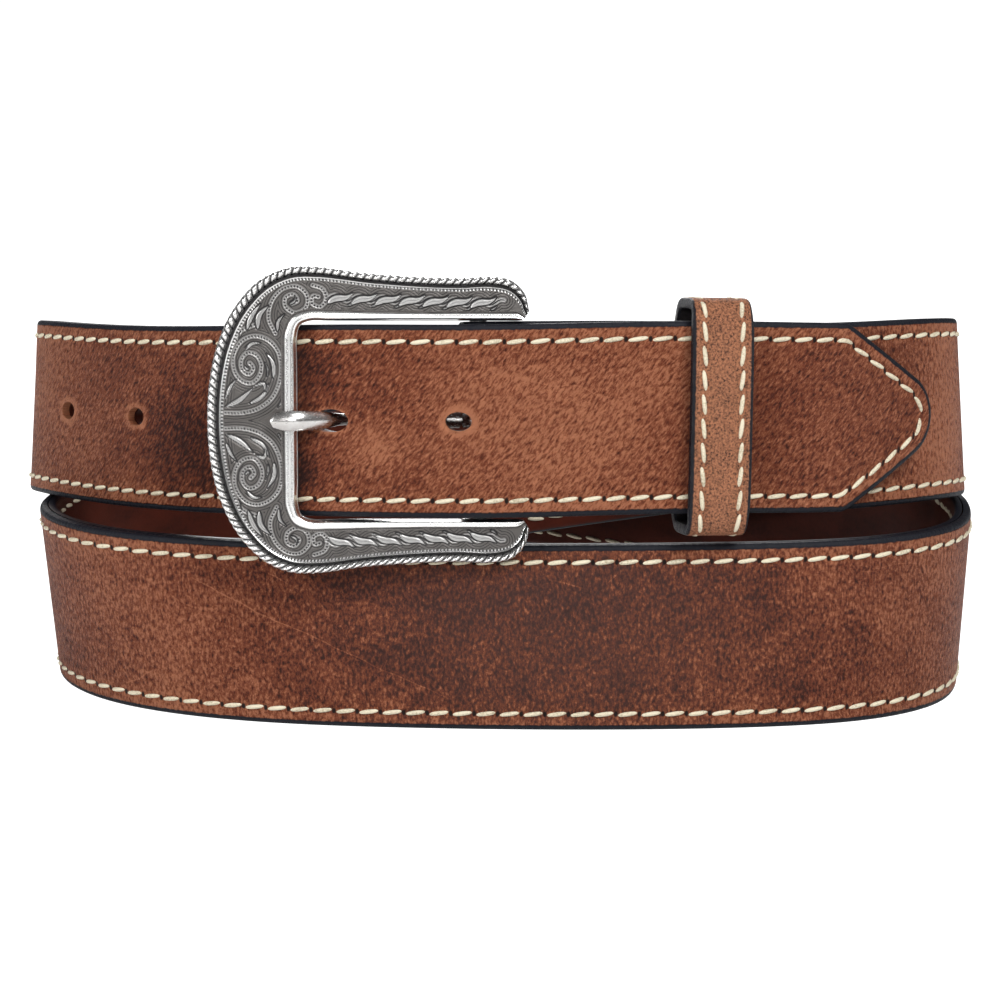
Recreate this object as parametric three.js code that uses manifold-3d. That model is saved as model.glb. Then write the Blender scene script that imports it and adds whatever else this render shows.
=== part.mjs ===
// Western belt, buckled and coiled in two turns, standing on its edge.
// Millimetres, +Z up. The origin is under the middle of the coil, on the surface it stands on.
// The buckle faces -Y. Lengths along the belt are measured from the heel bar of the buckle.

import * as THREE from 'three';
import * as BufferGeometryUtils from 'three/addons/utils/BufferGeometryUtils.js';
import Module from 'manifold-3d';

const wasm = await Module();
wasm.setup();

// Driving dimensions of the strap: a 1 1/2 inch belt of US size 38

const STRAP_WIDTH = 38.1;
const STRAP_THICKNESS = 3.7;
const LAYER_THICKNESS = 1.7;
const EDGE_ROUNDING = 0.7;
const FOLD_TO_TIP = 1118.4;
const TIP_TO_FIRST_HOLE = 101.6;
const HOLE_PITCH = 25.4;
const HOLE_COUNT = 5;
const USED_HOLE = 1;
const HOLE_SIZE = { length: 5.2, height: 3.8 };
const USED_HOLE_SIZE = { length: 7.4, height: 4.6 };
const TIP = { taper: 22.5, noseRadius: 9 };
const TIP_SECTIONS = [15, 8, 4.2, 3, 2, 1, 0.35, 0.08];
const FLAP_LENGTH = 44;
const FLAP_TO_LINING = 0.6;
const PARTING_LENGTH = 16;
const SECTION_STEP = 6.5;
const PUNCH_OVERRUN = 0.2;

// Driving dimensions of the buckle, the prong and the keeper

const HEEL_BAR = { x: -4.35, depth: 5.95, radius: 1.75, length: 45 };
const BAR_CLEARANCE = 0.3;
const PLATE = { front: 1.55, back: 4.3 };
const BUCKLE_SEAT = { y: 6.4, z: 63.6, lean: -5 };
const PRONG_EYE = { inner: 2.05, outer: 3.5, height: 3.4 };
const LUG = { halfWidth: 4.5, endRadius: 2.2, height: 4, inner: 19.75, intoPlate: 1 };
const PRONG_SLOT = { length: 13, height: 5.2, depth: 9, middle: 2, inFront: 0.06 };
const KEEPER = { fromTip: 50.5, width: 12.7, wall: 2.2, halfHeight: 22.5, halfDepth: 6.5, squareness: 5 };
const KEEPER_BEHIND_TAIL = 2.5;

// Middle of the coil, seen from above, in the table's frame

const COIL_CENTRE = { x: -1.6, y: 63.25 };

// Where the middle of the belt runs, one row for each place, from the heel bar to past the tip.
// x is to the right, y is from the front of the coil, z is the height of the belt's middle line,
// and lean is how far the top edge leans out of the coil, in degrees.

const ROUTE = [
  { place: 'heel bar', x: -4.4, y: 11.3, z: 63.6, lean: -5.2 },
  { place: 'under the keeper', x: 34, y: 13.3, z: 63.5, lean: -5 },
  { place: 'front, right', x: 60, y: 19.7, z: 62.4, lean: -5 },
  { place: 'behind the tip', x: 78, y: 29.7, z: 61.8, lean: -5 },
  { place: 'right shoulder', x: 90.5, y: 41, z: 61.1, lean: -5 },
  { place: 'right end', x: 98.4, y: 61, z: 58.8, lean: -4.2 },
  { place: 'right, back', x: 89.5, y: 86.5, z: 55.2, lean: -2.8 },
  { place: 'back, right', x: 63.5, y: 105, z: 49.4, lean: -1 },
  { place: 'back, right of middle', x: 22, y: 113.5, z: 42.3, lean: 0 },
  { place: 'back, left of middle', x: -22, y: 114.5, z: 35, lean: 0.5 },
  { place: 'back, left', x: -62, y: 108, z: 27, lean: 2 },
  { place: 'left, back', x: -88.5, y: 89.5, z: 21.5, lean: 3.5 },
  { place: 'left end', x: -97.3, y: 61, z: 19, lean: 5 },
  { place: 'left shoulder', x: -84.5, y: 33.5, z: 19, lean: 6 },
  { place: 'lower front, left', x: -56, y: 17.3, z: 19, lean: 4 },
  { place: 'lower front, left of middle', x: -20, y: 11.6, z: 19, lean: 1.7 },
  { place: 'lower front, middle', x: 16, y: 10.5, z: 19, lean: 0 },
  { place: 'lower front, right', x: 52, y: 12.5, z: 19, lean: 0 },
  { place: 'lower right shoulder', x: 78, y: 19.4, z: 19, lean: 1.2 },
  { place: 'lower right bend', x: 92, y: 31.5, z: 19, lean: 2.3 },
  { place: 'lower right end', x: 99.2, y: 54, z: 19, lean: 3.3 },
  { place: 'right, outer turn', x: 99.6, y: 74, z: 19.4, lean: 3.3 },
  { place: 'right, back, outer turn', x: 92, y: 94, z: 22.2, lean: 2.9 },
  { place: 'back, right, outer turn', x: 66, y: 113.2, z: 28, lean: 1.5 },
  { place: 'back, right of middle, outer turn', x: 24, y: 121.8, z: 33.6, lean: 0 },
  { place: 'back, left of middle, outer turn', x: -21, y: 123, z: 39.6, lean: 0 },
  { place: 'back, left, outer turn', x: -63, y: 119, z: 45.8, lean: -0.6 },
  { place: 'left, back, outer turn', x: -94.5, y: 103, z: 51.5, lean: -2.5 },
  { place: 'upper left end', x: -103, y: 79.5, z: 56.4, lean: -4 },
  { place: 'upper left shoulder', x: -90.5, y: 55.5, z: 58.6, lean: -5 },
  { place: 'upper front, left', x: -64, y: 29, z: 60.8, lean: -5.5 },
  { place: 'behind the buckle', x: -34, y: 11, z: 63.1, lean: -5.3 },
  { place: 'over the heel bar', x: -1, y: 6.4, z: 63.6, lean: -5 },
  { place: 'through the keeper', x: 36, y: 8.9, z: 64, lean: -4.5 },
  { place: 'tail, right', x: 68, y: 18.5, z: 62.6, lean: -4 },
  { place: 'past the tip', x: 92, y: 34, z: 61.2, lean: -4 },
];

// Outline of the buckle frame's upper half, mirrored for the lower half. The outer and the inner
// edge are given at the same places, from the middle of the left bar round to the arm's end.

const FRAME_OUTLINE = [
  { outerX: -58, outerZ: 0, innerX: -40.2, innerZ: 0 },
  { outerX: -57.4, outerZ: 8.5, innerX: -40.2, innerZ: 6.5 },
  { outerX: -55.7, outerZ: 15.6, innerX: -40.2, innerZ: 12 },
  { outerX: -52.6, outerZ: 22, innerX: -40.2, innerZ: 16.4 },
  { outerX: -47.7, outerZ: 27.5, innerX: -39.5, innerZ: 18.8 },
  { outerX: -42.2, outerZ: 30.2, innerX: -37.4, innerZ: 19.7 },
  { outerX: -36.6, outerZ: 30.5, innerX: -33.6, innerZ: 19.7 },
  { outerX: -27.5, outerZ: 29.3, innerX: -25.4, innerZ: 19.7 },
  { outerX: -17.3, outerZ: 28.5, innerX: -16.3, innerZ: 19.7 },
  { outerX: -8, outerZ: 28.2, innerX: -8, innerZ: 19.7 },
  { outerX: -2, outerZ: 28.4, innerX: -2.5, innerZ: 19.7 },
  { outerX: 2.2, outerZ: 27.6, innerX: 1.2, innerZ: 19.7 },
  { outerX: 4.9, outerZ: 25, innerX: 3.4, innerZ: 19.7 },
  { outerX: 5.8, outerZ: 21.6, innerX: 4.6, innerZ: 19.8 },
];

// Relief of the frame's face: the rope edge, the channel inside it, and the moulded rim of the
// window. inset is measured from the outer edge, or from the inner edge for the rim.

const ROPE_RELIEF = [
  { inset: 0, height: -0.9 },
  { inset: 0.25, height: 0.05 },
  { inset: 0.9, height: 0.45 },
  { inset: 1.6, height: 0.1 },
  { inset: 1.9, height: -0.35 },
  { inset: 2.45, height: -0.35 },
  { inset: 2.7, height: 0 },
];
const RIM_RELIEF = [
  { inset: 2.3, height: 0 },
  { inset: 1.9, height: 0.3 },
  { inset: 1.1, height: 0.1 },
  { inset: 0.6, height: 0.25 },
  { inset: 0, height: -0.6 },
];
const RELIEF_FULL_WIDTH = 8;

// The prong, from its eye to its tip: x, depth behind the tail's middle, and half its height.

const PRONG = [
  { x: -6.9, depth: 5.55, halfHeight: 1.7 },
  { x: -14, depth: 5.5, halfHeight: 1.7 },
  { x: -22, depth: 6.1, halfHeight: 1.6 },
  { x: -28.9, depth: 7.15, halfHeight: 1.3 },
  { x: -31.2, depth: 6.15, halfHeight: 1.1 },
  { x: -35, depth: 3.4, halfHeight: 1.5 },
  { x: -38.9, depth: 0.55, halfHeight: 1.95 },
  { x: -40.6, depth: -0.1, halfHeight: 1.95 },
  { x: -42.8, depth: -0.15, halfHeight: 1.95 },
  { x: -44.3, depth: -0.15, halfHeight: 1.5 },
  { x: -44.9, depth: -0.15, halfHeight: 0.8 },
];
const PRONG_HALF_THICKNESS = 1;
const PRONG_CHAMFER = 0.45;

// Finishes

const LEATHER = new THREE.MeshStandardMaterial({ color: 0x8a4a30, roughness: 0.75, metalness: 0 });
const LINING = new THREE.MeshStandardMaterial({ color: 0x6e2f1d, roughness: 0.55, metalness: 0 });
const KEEPER_LEATHER = new THREE.MeshStandardMaterial({ color: 0xa8663f, roughness: 0.75, metalness: 0 });
const SILVER = new THREE.MeshStandardMaterial({ color: 0xb9b5ae, roughness: 0.35, metalness: 1 });

const HALF_WIDTH = STRAP_WIDTH / 2;
const HALF_THICKNESS = STRAP_THICKNESS / 2;
const LAYER_MIDDLE = HALF_THICKNESS - LAYER_THICKNESS / 2;
const UP = new THREE.Vector3(0, 0, 1);

// A natural cubic spline through equally named rows; knots are the running chord length.

function splineThrough(rows, keys, knots) {
  const count = rows.length;
  const gaps = knots.slice(1).map((knot, i) => knot - knots[i]);
  const columns = keys.map((key) => {
    const values = rows.map((row) => row[key]);
    const bends = new Array(count).fill(0);
    const ratio = new Array(count).fill(0);
    const partial = new Array(count).fill(0);
    for (let i = 1; i < count - 1; i += 1) {
      const rise = (values[i + 1] - values[i]) / gaps[i] - (values[i] - values[i - 1]) / gaps[i - 1];
      const pivot = 2 * (gaps[i] + gaps[i - 1]) - gaps[i - 1] * ratio[i - 1];
      ratio[i] = gaps[i] / pivot;
      partial[i] = (6 * rise - gaps[i - 1] * partial[i - 1]) / pivot;
    }
    for (let i = count - 2; i > 0; i -= 1) bends[i] = partial[i] - ratio[i] * bends[i + 1];
    return { values, bends };
  });
  return (knot) => {
    let i = 0;
    while (i < count - 2 && knot > knots[i + 1]) i += 1;
    const gap = gaps[i];
    const b = (knot - knots[i]) / gap;
    const a = 1 - b;
    return columns.map(({ values, bends }) => (
      a * values[i] + b * values[i + 1]
      + ((a ** 3 - a) * bends[i] + (b ** 3 - b) * bends[i + 1]) * gap * gap / 6
    ));
  };
}

// The middle line of the belt, measured along its length. frameAt gives the point, the direction
// along the belt, across it (up) and out of the coil.

function makeRoute() {
  const knots = [0];
  for (let i = 1; i < ROUTE.length; i += 1) {
    const from = ROUTE[i - 1];
    const to = ROUTE[i];
    knots.push(knots[i - 1] + Math.hypot(to.x - from.x, to.y - from.y, to.z - from.z));
  }
  const spline = splineThrough(ROUTE, ['x', 'y', 'z', 'lean'], knots);
  const stateAt = (knot) => {
    const [x, y, height, leanDegrees] = spline(knot);
    const lean = THREE.MathUtils.degToRad(leanDegrees);
    const floorHeight = HALF_WIDTH * Math.cos(lean) + HALF_THICKNESS * Math.abs(Math.sin(lean));
    const z = Math.max(height, floorHeight);
    return { point: new THREE.Vector3(x - COIL_CENTRE.x, y - COIL_CENTRE.y, z), lean };
  };
  const samples = 4000;
  const lastKnot = knots[knots.length - 1];
  const lengths = [0];
  let previous = stateAt(0).point;
  for (let i = 1; i <= samples; i += 1) {
    const next = stateAt(lastKnot * i / samples).point;
    lengths.push(lengths[i - 1] + next.distanceTo(previous));
    previous = next;
  }
  const knotAt = (length) => {
    let low = 0;
    let high = samples;
    while (high - low > 1) {
      const middle = (low + high) >> 1;
      if (lengths[middle] > length) high = middle;
      else low = middle;
    }
    const part = (length - lengths[low]) / (lengths[high] - lengths[low]);
    return lastKnot * (low + part) / samples;
  };
  return function frameAt(length) {
    const onRoute = Math.max(length, 0);
    const knot = knotAt(onRoute);
    const halfStep = 0.5;
    const before = stateAt(Math.max(knot - halfStep, 0)).point;
    const after = stateAt(Math.min(knot + halfStep, lastKnot)).point;
    const along = after.sub(before).normalize();
    const { point, lean } = stateAt(knot);
    const level = new THREE.Vector3().crossVectors(along, UP).normalize();
    const upright = new THREE.Vector3().crossVectors(level, along);
    const across = upright.clone().multiplyScalar(Math.cos(lean)).addScaledVector(level, Math.sin(lean));
    const outward = level.multiplyScalar(Math.cos(lean)).addScaledVector(upright, -Math.sin(lean));
    point.addScaledVector(along, length - onRoute);
    return { point, along, across, outward };
  };
}

const frameAt = makeRoute();

function placeOnBelt(length, acrossBelt, outOfBelt) {
  const { point, across, outward } = frameAt(length);
  return point.addScaledVector(across, acrossBelt).addScaledVector(outward, outOfBelt);
}

// Half the belt's width at a distance from the tip: a rounded nose, straight sides, full width.

function halfWidthFromTip(distance) {
  const { taper, noseRadius } = TIP;
  if (distance >= taper) return HALF_WIDTH;
  const reach = Math.hypot(taper - noseRadius, HALF_WIDTH);
  const side = Math.atan2(HALF_WIDTH, taper - noseRadius) - Math.asin(noseRadius / reach);
  const noseEnd = noseRadius * (1 - Math.sin(side));
  if (distance > noseEnd) return HALF_WIDTH - Math.tan(side) * (taper - distance);
  return Math.sqrt(noseRadius ** 2 - (noseRadius - distance) ** 2);
}

// Closed solid through rings of equally many points, with flat ends.

function loft(rings) {
  const ringSize = rings[0].length;
  const positions = [];
  const indices = [];
  rings.forEach((ring) => ring.forEach((point) => positions.push(point.x, point.y, point.z)));
  for (let i = 0; i < rings.length - 1; i += 1) {
    for (let j = 0; j < ringSize; j += 1) {
      const next = (j + 1) % ringSize;
      const a = i * ringSize + j;
      const b = i * ringSize + next;
      indices.push(a, b, b + ringSize, a, b + ringSize, a + ringSize);
    }
  }
  const lastRing = (rings.length - 1) * ringSize;
  for (let j = 1; j < ringSize - 1; j += 1) {
    indices.push(0, j + 1, j);
    indices.push(lastRing, lastRing + j, lastRing + j + 1);
  }
  const geometry = new THREE.BufferGeometry();
  geometry.setAttribute('position', new THREE.Float32BufferAttribute(positions, 3));
  geometry.setIndex(indices);
  return geometry;
}

function signedVolume(geometry) {
  const position = geometry.getAttribute('position');
  const index = geometry.getIndex();
  const [a, b, c] = [new THREE.Vector3(), new THREE.Vector3(), new THREE.Vector3()];
  let volume = 0;
  for (let i = 0; i < index.count; i += 3) {
    a.fromBufferAttribute(position, index.getX(i));
    b.fromBufferAttribute(position, index.getX(i + 1));
    c.fromBufferAttribute(position, index.getX(i + 2));
    volume += a.dot(b.cross(c)) / 6;
  }
  return volume;
}

function toSolid(geometry) {
  const bare = geometry.clone();
  bare.deleteAttribute('normal');
  bare.deleteAttribute('uv');
  const merged = BufferGeometryUtils.mergeVertices(bare, 1e-4);
  const triVerts = Uint32Array.from(merged.getIndex().array);
  if (signedVolume(merged) < 0) {
    for (let i = 0; i < triVerts.length; i += 3) {
      const swapped = triVerts[i];
      triVerts[i] = triVerts[i + 1];
      triVerts[i + 1] = swapped;
    }
  }
  const vertProperties = Float32Array.from(merged.getAttribute('position').array);
  return new wasm.Manifold(new wasm.Mesh({ numProp: 3, vertProperties, triVerts }));
}

function toMesh(name, solid, material) {
  const { vertProperties, triVerts } = solid.getMesh();
  const geometry = new THREE.BufferGeometry();
  geometry.setAttribute('position', new THREE.BufferAttribute(Float32Array.from(vertProperties), 3));
  geometry.setIndex(new THREE.BufferAttribute(Uint32Array.from(triVerts), 1));
  geometry.computeVertexNormals();
  const mesh = new THREE.Mesh(geometry, material);
  mesh.name = name;
  return mesh;
}

// One layer of leather. Each row gives where the layer's middle is, along and out of the belt,
// which way its grain side faces there, and half its width. The grain side's edges are rounded.

function leatherLayer(rows) {
  const half = LAYER_THICKNESS / 2;
  const rings = rows.map(({ along, out, facingAlong, facingOut, halfWidth }) => {
    const rounding = Math.min(EDGE_ROUNDING, halfWidth / 3);
    const corner = (acrossBelt, level) => placeOnBelt(
      along + facingAlong * level,
      acrossBelt,
      out + facingOut * level,
    );
    return [
      corner(-halfWidth, -half),
      corner(-halfWidth, half - rounding),
      corner(-halfWidth + rounding, half),
      corner(halfWidth - rounding, half),
      corner(halfWidth, half - rounding),
      corner(halfWidth, -half),
    ];
  });
  return toSolid(loft(rings));
}

// Lengths at which the belt has a section: every few millimetres, closer together at the tip.

function sectionLengths(from) {
  const taperStart = FOLD_TO_TIP - TIP.taper;
  const steps = Math.round((taperStart - from) / SECTION_STEP);
  const lengths = [];
  for (let i = 0; i <= steps; i += 1) lengths.push(from + (taperStart - from) * i / steps);
  TIP_SECTIONS.forEach((distance) => lengths.push(FOLD_TO_TIP - distance));
  return lengths;
}

// Oval punch for a hole in the tail, seen along the belt's outward direction.

function holePunch(length, size) {
  const shape = new THREE.Shape();
  shape.absellipse(0, 0, size.length / 2, size.height / 2, 0, Math.PI * 2, false, 0);
  const depth = STRAP_THICKNESS + 2 * PUNCH_OVERRUN;
  const geometry = new THREE.ExtrudeGeometry(shape, { depth, bevelEnabled: false, curveSegments: 14 });
  const { point, along, across, outward } = frameAt(length);
  const basis = new THREE.Matrix4().makeBasis(along, across, outward);
  basis.setPosition(point.addScaledVector(outward, -HALF_THICKNESS - PUNCH_OVERRUN));
  geometry.applyMatrix4(basis);
  return toSolid(geometry);
}

function holePunches() {
  const punches = [];
  for (let i = 0; i < HOLE_COUNT; i += 1) {
    const length = FOLD_TO_TIP - TIP_TO_FIRST_HOLE - i * HOLE_PITCH;
    punches.push(holePunch(length, i === USED_HOLE ? USED_HOLE_SIZE : HOLE_SIZE));
  }
  return punches;
}

// The outer leather: the turned-in flap, the fold round the heel bar, and the belt to its tip.
// Near the bar the two layers part, to pass in front of it and behind it.

function strapOuter() {
  const foldRadius = HEEL_BAR.radius + BAR_CLEARANCE + LAYER_THICKNESS / 2;
  const barOut = ROUTE[0].y - (BUCKLE_SEAT.y + HEEL_BAR.depth);
  const parted = (length) => {
    const t = THREE.MathUtils.clamp(1 - length / PARTING_LENGTH, 0, 1);
    return t * t * (3 - 2 * t);
  };
  const frontOut = (length) => THREE.MathUtils.lerp(LAYER_MIDDLE, barOut + foldRadius, parted(length));
  const flapOut = (length) => THREE.MathUtils.lerp(-LAYER_MIDDLE, barOut - foldRadius, parted(length));
  const rows = [];
  [FLAP_LENGTH, 36, 28, 20, 16, 12, 8, 4].forEach((length) => rows.push({
    along: length,
    out: flapOut(length),
    facingAlong: 0,
    facingOut: -1,
    halfWidth: HALF_WIDTH,
  }));
  const foldSteps = 10;
  for (let i = 0; i <= foldSteps; i += 1) {
    const angle = Math.PI * (1.5 - i / foldSteps);
    rows.push({
      along: foldRadius * Math.cos(angle),
      out: barOut + foldRadius * Math.sin(angle),
      facingAlong: Math.cos(angle),
      facingOut: Math.sin(angle),
      halfWidth: HALF_WIDTH,
    });
  }
  [4, 8, 12].concat(sectionLengths(PARTING_LENGTH)).forEach((length) => rows.push({
    along: length,
    out: frontOut(length),
    facingAlong: 0,
    facingOut: 1,
    halfWidth: halfWidthFromTip(FOLD_TO_TIP - length),
  }));

  const slot = new THREE.BoxGeometry(PRONG_SLOT.length, PRONG_SLOT.height, PRONG_SLOT.depth);
  const { point, along, across, outward } = frameAt(0);
  const slotFront = barOut + foldRadius + LAYER_THICKNESS / 2 + PRONG_SLOT.inFront;
  const basis = new THREE.Matrix4().makeBasis(along, across, outward);
  point.addScaledVector(outward, slotFront - PRONG_SLOT.depth / 2);
  basis.setPosition(point.addScaledVector(along, PRONG_SLOT.middle));
  slot.applyMatrix4(basis);

  let solid = leatherLayer(rows).subtract(toSolid(slot));
  holePunches().forEach((punch) => {
    solid = solid.subtract(punch);
  });
  return toMesh('strap_outer', solid, LEATHER);
}

// The lining, from the end of the flap to the tip. Its smooth side faces into the coil.

function strapLining() {
  const rows = sectionLengths(FLAP_LENGTH + FLAP_TO_LINING).map((length) => ({
    along: length,
    out: -LAYER_MIDDLE,
    facingAlong: 0,
    facingOut: -1,
    halfWidth: halfWidthFromTip(FOLD_TO_TIP - length),
  }));
  let solid = leatherLayer(rows);
  holePunches().forEach((punch) => {
    solid = solid.subtract(punch);
  });
  return toMesh('strap_lining', solid, LINING);
}

// The keeper, a square-shouldered loop round the tail and the strap under it.

function keeperOutline(inset) {
  const points = [];
  const steps = 40;
  const power = 2 / KEEPER.squareness;
  for (let i = 0; i < steps; i += 1) {
    const angle = Math.PI * 2 * i / steps;
    const cos = Math.cos(angle);
    const sin = Math.sin(angle);
    points.push(new THREE.Vector2(
      Math.sign(cos) * Math.abs(cos) ** power * (KEEPER.halfHeight - inset),
      Math.sign(sin) * Math.abs(sin) ** power * (KEEPER.halfDepth - inset),
    ));
  }
  return points;
}

function keeper() {
  const shape = new THREE.Shape(keeperOutline(-KEEPER.wall / 2));
  shape.holes.push(new THREE.Path(keeperOutline(KEEPER.wall / 2)));
  const geometry = new THREE.ExtrudeGeometry(shape, { depth: KEEPER.width, bevelEnabled: false });
  geometry.translate(0, 0, -KEEPER.width / 2);
  const { point, along, across, outward } = frameAt(FOLD_TO_TIP - KEEPER.fromTip);
  const basis = new THREE.Matrix4().makeBasis(across, outward, along);
  basis.setPosition(point.addScaledVector(outward, -KEEPER_BEHIND_TAIL));
  geometry.applyMatrix4(basis);
  return toMesh('keeper', toSolid(geometry), KEEPER_LEATHER);
}

// The buckle frame. Its own frame has x to the right, y into the coil and z up its height.

function frameSections() {
  const upper = [...FRAME_OUTLINE].reverse();
  const lower = FRAME_OUTLINE.slice(1).map((row) => ({ ...row, outerZ: -row.outerZ, innerZ: -row.innerZ }));
  const rows = upper.concat(lower);
  const curve = (xKey, zKey) => new THREE.CatmullRomCurve3(
    rows.map((row) => new THREE.Vector3(row[xKey], 0, row[zKey])),
  );
  const outer = curve('outerX', 'outerZ');
  const inner = curve('innerX', 'innerZ');
  const steps = (rows.length - 1) * 3;
  const sections = [];
  for (let i = 0; i <= steps; i += 1) {
    sections.push({ outer: outer.getPoint(i / steps), inner: inner.getPoint(i / steps) });
  }
  return sections;
}

function framePlate() {
  const rings = frameSections().map(({ outer, inner }) => {
    const width = outer.distanceTo(inner);
    const scale = Math.min(1, width / RELIEF_FULL_WIDTH);
    const inward = inner.clone().sub(outer).divideScalar(width);
    const onFace = (fromOuter, height) => outer.clone()
      .addScaledVector(inward, fromOuter)
      .setY(PLATE.front - height * scale);
    const rope = ROPE_RELIEF.map(({ inset, height }) => onFace(inset * scale, height));
    const rim = RIM_RELIEF.map(({ inset, height }) => onFace(width - inset * scale, height));
    const back = [
      inner.clone().setY(PLATE.back),
      outer.clone().addScaledVector(inward, 0.5 * scale).setY(PLATE.back),
    ];
    return rope.concat(rim, back);
  });
  return toSolid(loft(rings));
}

function buckleFrame() {
  const bar = new THREE.CylinderGeometry(HEEL_BAR.radius, HEEL_BAR.radius, HEEL_BAR.length, 16);
  bar.rotateX(Math.PI / 2);
  bar.translate(HEEL_BAR.x, HEEL_BAR.depth, 0);
  let solid = framePlate().add(toSolid(bar));
  const lugFront = PLATE.back - LUG.intoPlate;
  const lug = new THREE.Shape();
  lug.moveTo(HEEL_BAR.x - LUG.halfWidth, lugFront);
  lug.lineTo(HEEL_BAR.x + LUG.halfWidth, lugFront);
  lug.lineTo(HEEL_BAR.x + LUG.endRadius, HEEL_BAR.depth);
  lug.absarc(HEEL_BAR.x, HEEL_BAR.depth, LUG.endRadius, 0, Math.PI, false);
  lug.closePath();
  [LUG.inner, -LUG.inner - LUG.height].forEach((bottom) => {
    const options = { depth: LUG.height, bevelEnabled: false, curveSegments: 8 };
    const block = new THREE.ExtrudeGeometry(lug, options);
    block.translate(0, 0, bottom);
    solid = solid.add(toSolid(block));
  });
  return toMesh('buckle_frame', solid, SILVER);
}

// The prong: a bevelled bar from its eye round the heel bar, out through the used hole, to rest
// on the left bar of the frame.

function buckleProng() {
  const path = new THREE.CatmullRomCurve3(PRONG.map((row) => new THREE.Vector3(row.x, row.depth, 0)));
  const steps = PRONG.length - 1;
  const rings = PRONG.map((row, i) => {
    const along = path.getTangent(i / steps);
    const side = new THREE.Vector3(along.y, -along.x, 0).normalize();
    const tall = row.halfHeight;
    const chamfer = Math.min(PRONG_CHAMFER, tall / 2);
    const thick = PRONG_HALF_THICKNESS;
    const corner = (z, out) => new THREE.Vector3(row.x, row.depth, z).addScaledVector(side, out);
    return [
      corner(-tall, -thick + chamfer), corner(-tall + chamfer, -thick),
      corner(tall - chamfer, -thick), corner(tall, -thick + chamfer),
      corner(tall, thick - chamfer), corner(tall - chamfer, thick),
      corner(-tall + chamfer, thick), corner(-tall, thick - chamfer),
    ];
  });
  const { inner, outer, height } = PRONG_EYE;
  const ringProfile = [
    new THREE.Vector2(inner, -height / 2),
    new THREE.Vector2(outer, -height / 2),
    new THREE.Vector2(outer, height / 2),
    new THREE.Vector2(inner, height / 2),
    new THREE.Vector2(inner, -height / 2),
  ];
  const eye = new THREE.LatheGeometry(ringProfile, 20);
  eye.rotateX(Math.PI / 2);
  eye.translate(HEEL_BAR.x, HEEL_BAR.depth, 0);
  return toMesh('buckle_prong', toSolid(loft(rings)).add(toSolid(eye)), SILVER);
}

// Assembly

const belt = new THREE.Group();
belt.add(strapOuter(), strapLining(), keeper());

const buckle = new THREE.Group();
buckle.position.set(-COIL_CENTRE.x, BUCKLE_SEAT.y - COIL_CENTRE.y, BUCKLE_SEAT.z);
buckle.rotation.x = THREE.MathUtils.degToRad(BUCKLE_SEAT.lean);
buckle.add(buckleFrame(), buckleProng());
belt.add(buckle);

export default belt;
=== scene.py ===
"""A western belt, buckled and coiled in two turns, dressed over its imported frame."""

import logging
import math
from collections.abc import Iterator
from contextlib import contextmanager
from dataclasses import dataclass
from enum import Enum

import bpy
import numpy as np
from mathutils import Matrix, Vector

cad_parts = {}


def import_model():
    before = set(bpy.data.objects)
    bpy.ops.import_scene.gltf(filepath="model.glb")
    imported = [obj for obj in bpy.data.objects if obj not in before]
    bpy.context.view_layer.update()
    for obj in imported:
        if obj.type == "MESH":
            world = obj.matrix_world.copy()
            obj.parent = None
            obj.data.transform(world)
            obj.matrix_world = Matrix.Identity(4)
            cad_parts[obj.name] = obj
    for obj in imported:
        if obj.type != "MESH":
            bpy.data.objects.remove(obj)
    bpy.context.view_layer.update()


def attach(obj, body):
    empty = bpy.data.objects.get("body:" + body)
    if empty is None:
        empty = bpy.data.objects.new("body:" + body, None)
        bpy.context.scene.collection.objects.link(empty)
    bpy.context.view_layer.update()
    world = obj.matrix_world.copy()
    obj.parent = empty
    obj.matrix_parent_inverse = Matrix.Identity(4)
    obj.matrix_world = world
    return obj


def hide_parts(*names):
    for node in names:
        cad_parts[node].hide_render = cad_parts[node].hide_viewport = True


log = logging.getLogger("western_belt")

MM = 0.001
UV_PER_MM = 0.01

# Sizes of the belt, in millimetres, as its frame has them

STRAP_WIDTH = 38.1
HALF_WIDTH = STRAP_WIDTH / 2
HALF_THICKNESS = 1.85
LAYER_THICKNESS = 1.7
LAYER_MIDDLE = HALF_THICKNESS - LAYER_THICKNESS / 2
FOLD_TO_TIP = 1118.4
TIP_TO_FIRST_HOLE = 101.6
HOLE_PITCH = 25.4
HOLE_COUNT = 5
USED_HOLE = 1
TIP_TAPER = 22.5
TIP_NOSE = 9.0
HOLE_SIZE = (5.2, 3.8)
USED_HOLE_SIZE = (7.4, 4.6)
PRONG_SLOT_SIZE = (17.0, 5.2)
FLAP_LENGTH = 44.0
FLAP_TO_LINING = 0.6
PARTING_LENGTH = 16.0
BUCKLE_SEAT = (6.4, 63.6, -5.0)
COIL_CENTRE = (-1.6, 63.25)
BAR = {"x": -4.35, "depth": 5.95, "radius": 1.75, "length": 45.0}
BAR_CLEARANCE = 0.3
STITCH_INSET = 3.4
STITCH_PITCH = 4.75
STITCH_START = 19.0
LINING_STITCH_START = 57.0

# Where the middle of the belt runs: x to the right, y from the front of the coil, z the height of
# its middle line, and how far its top edge leans out of the coil, in degrees

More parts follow.
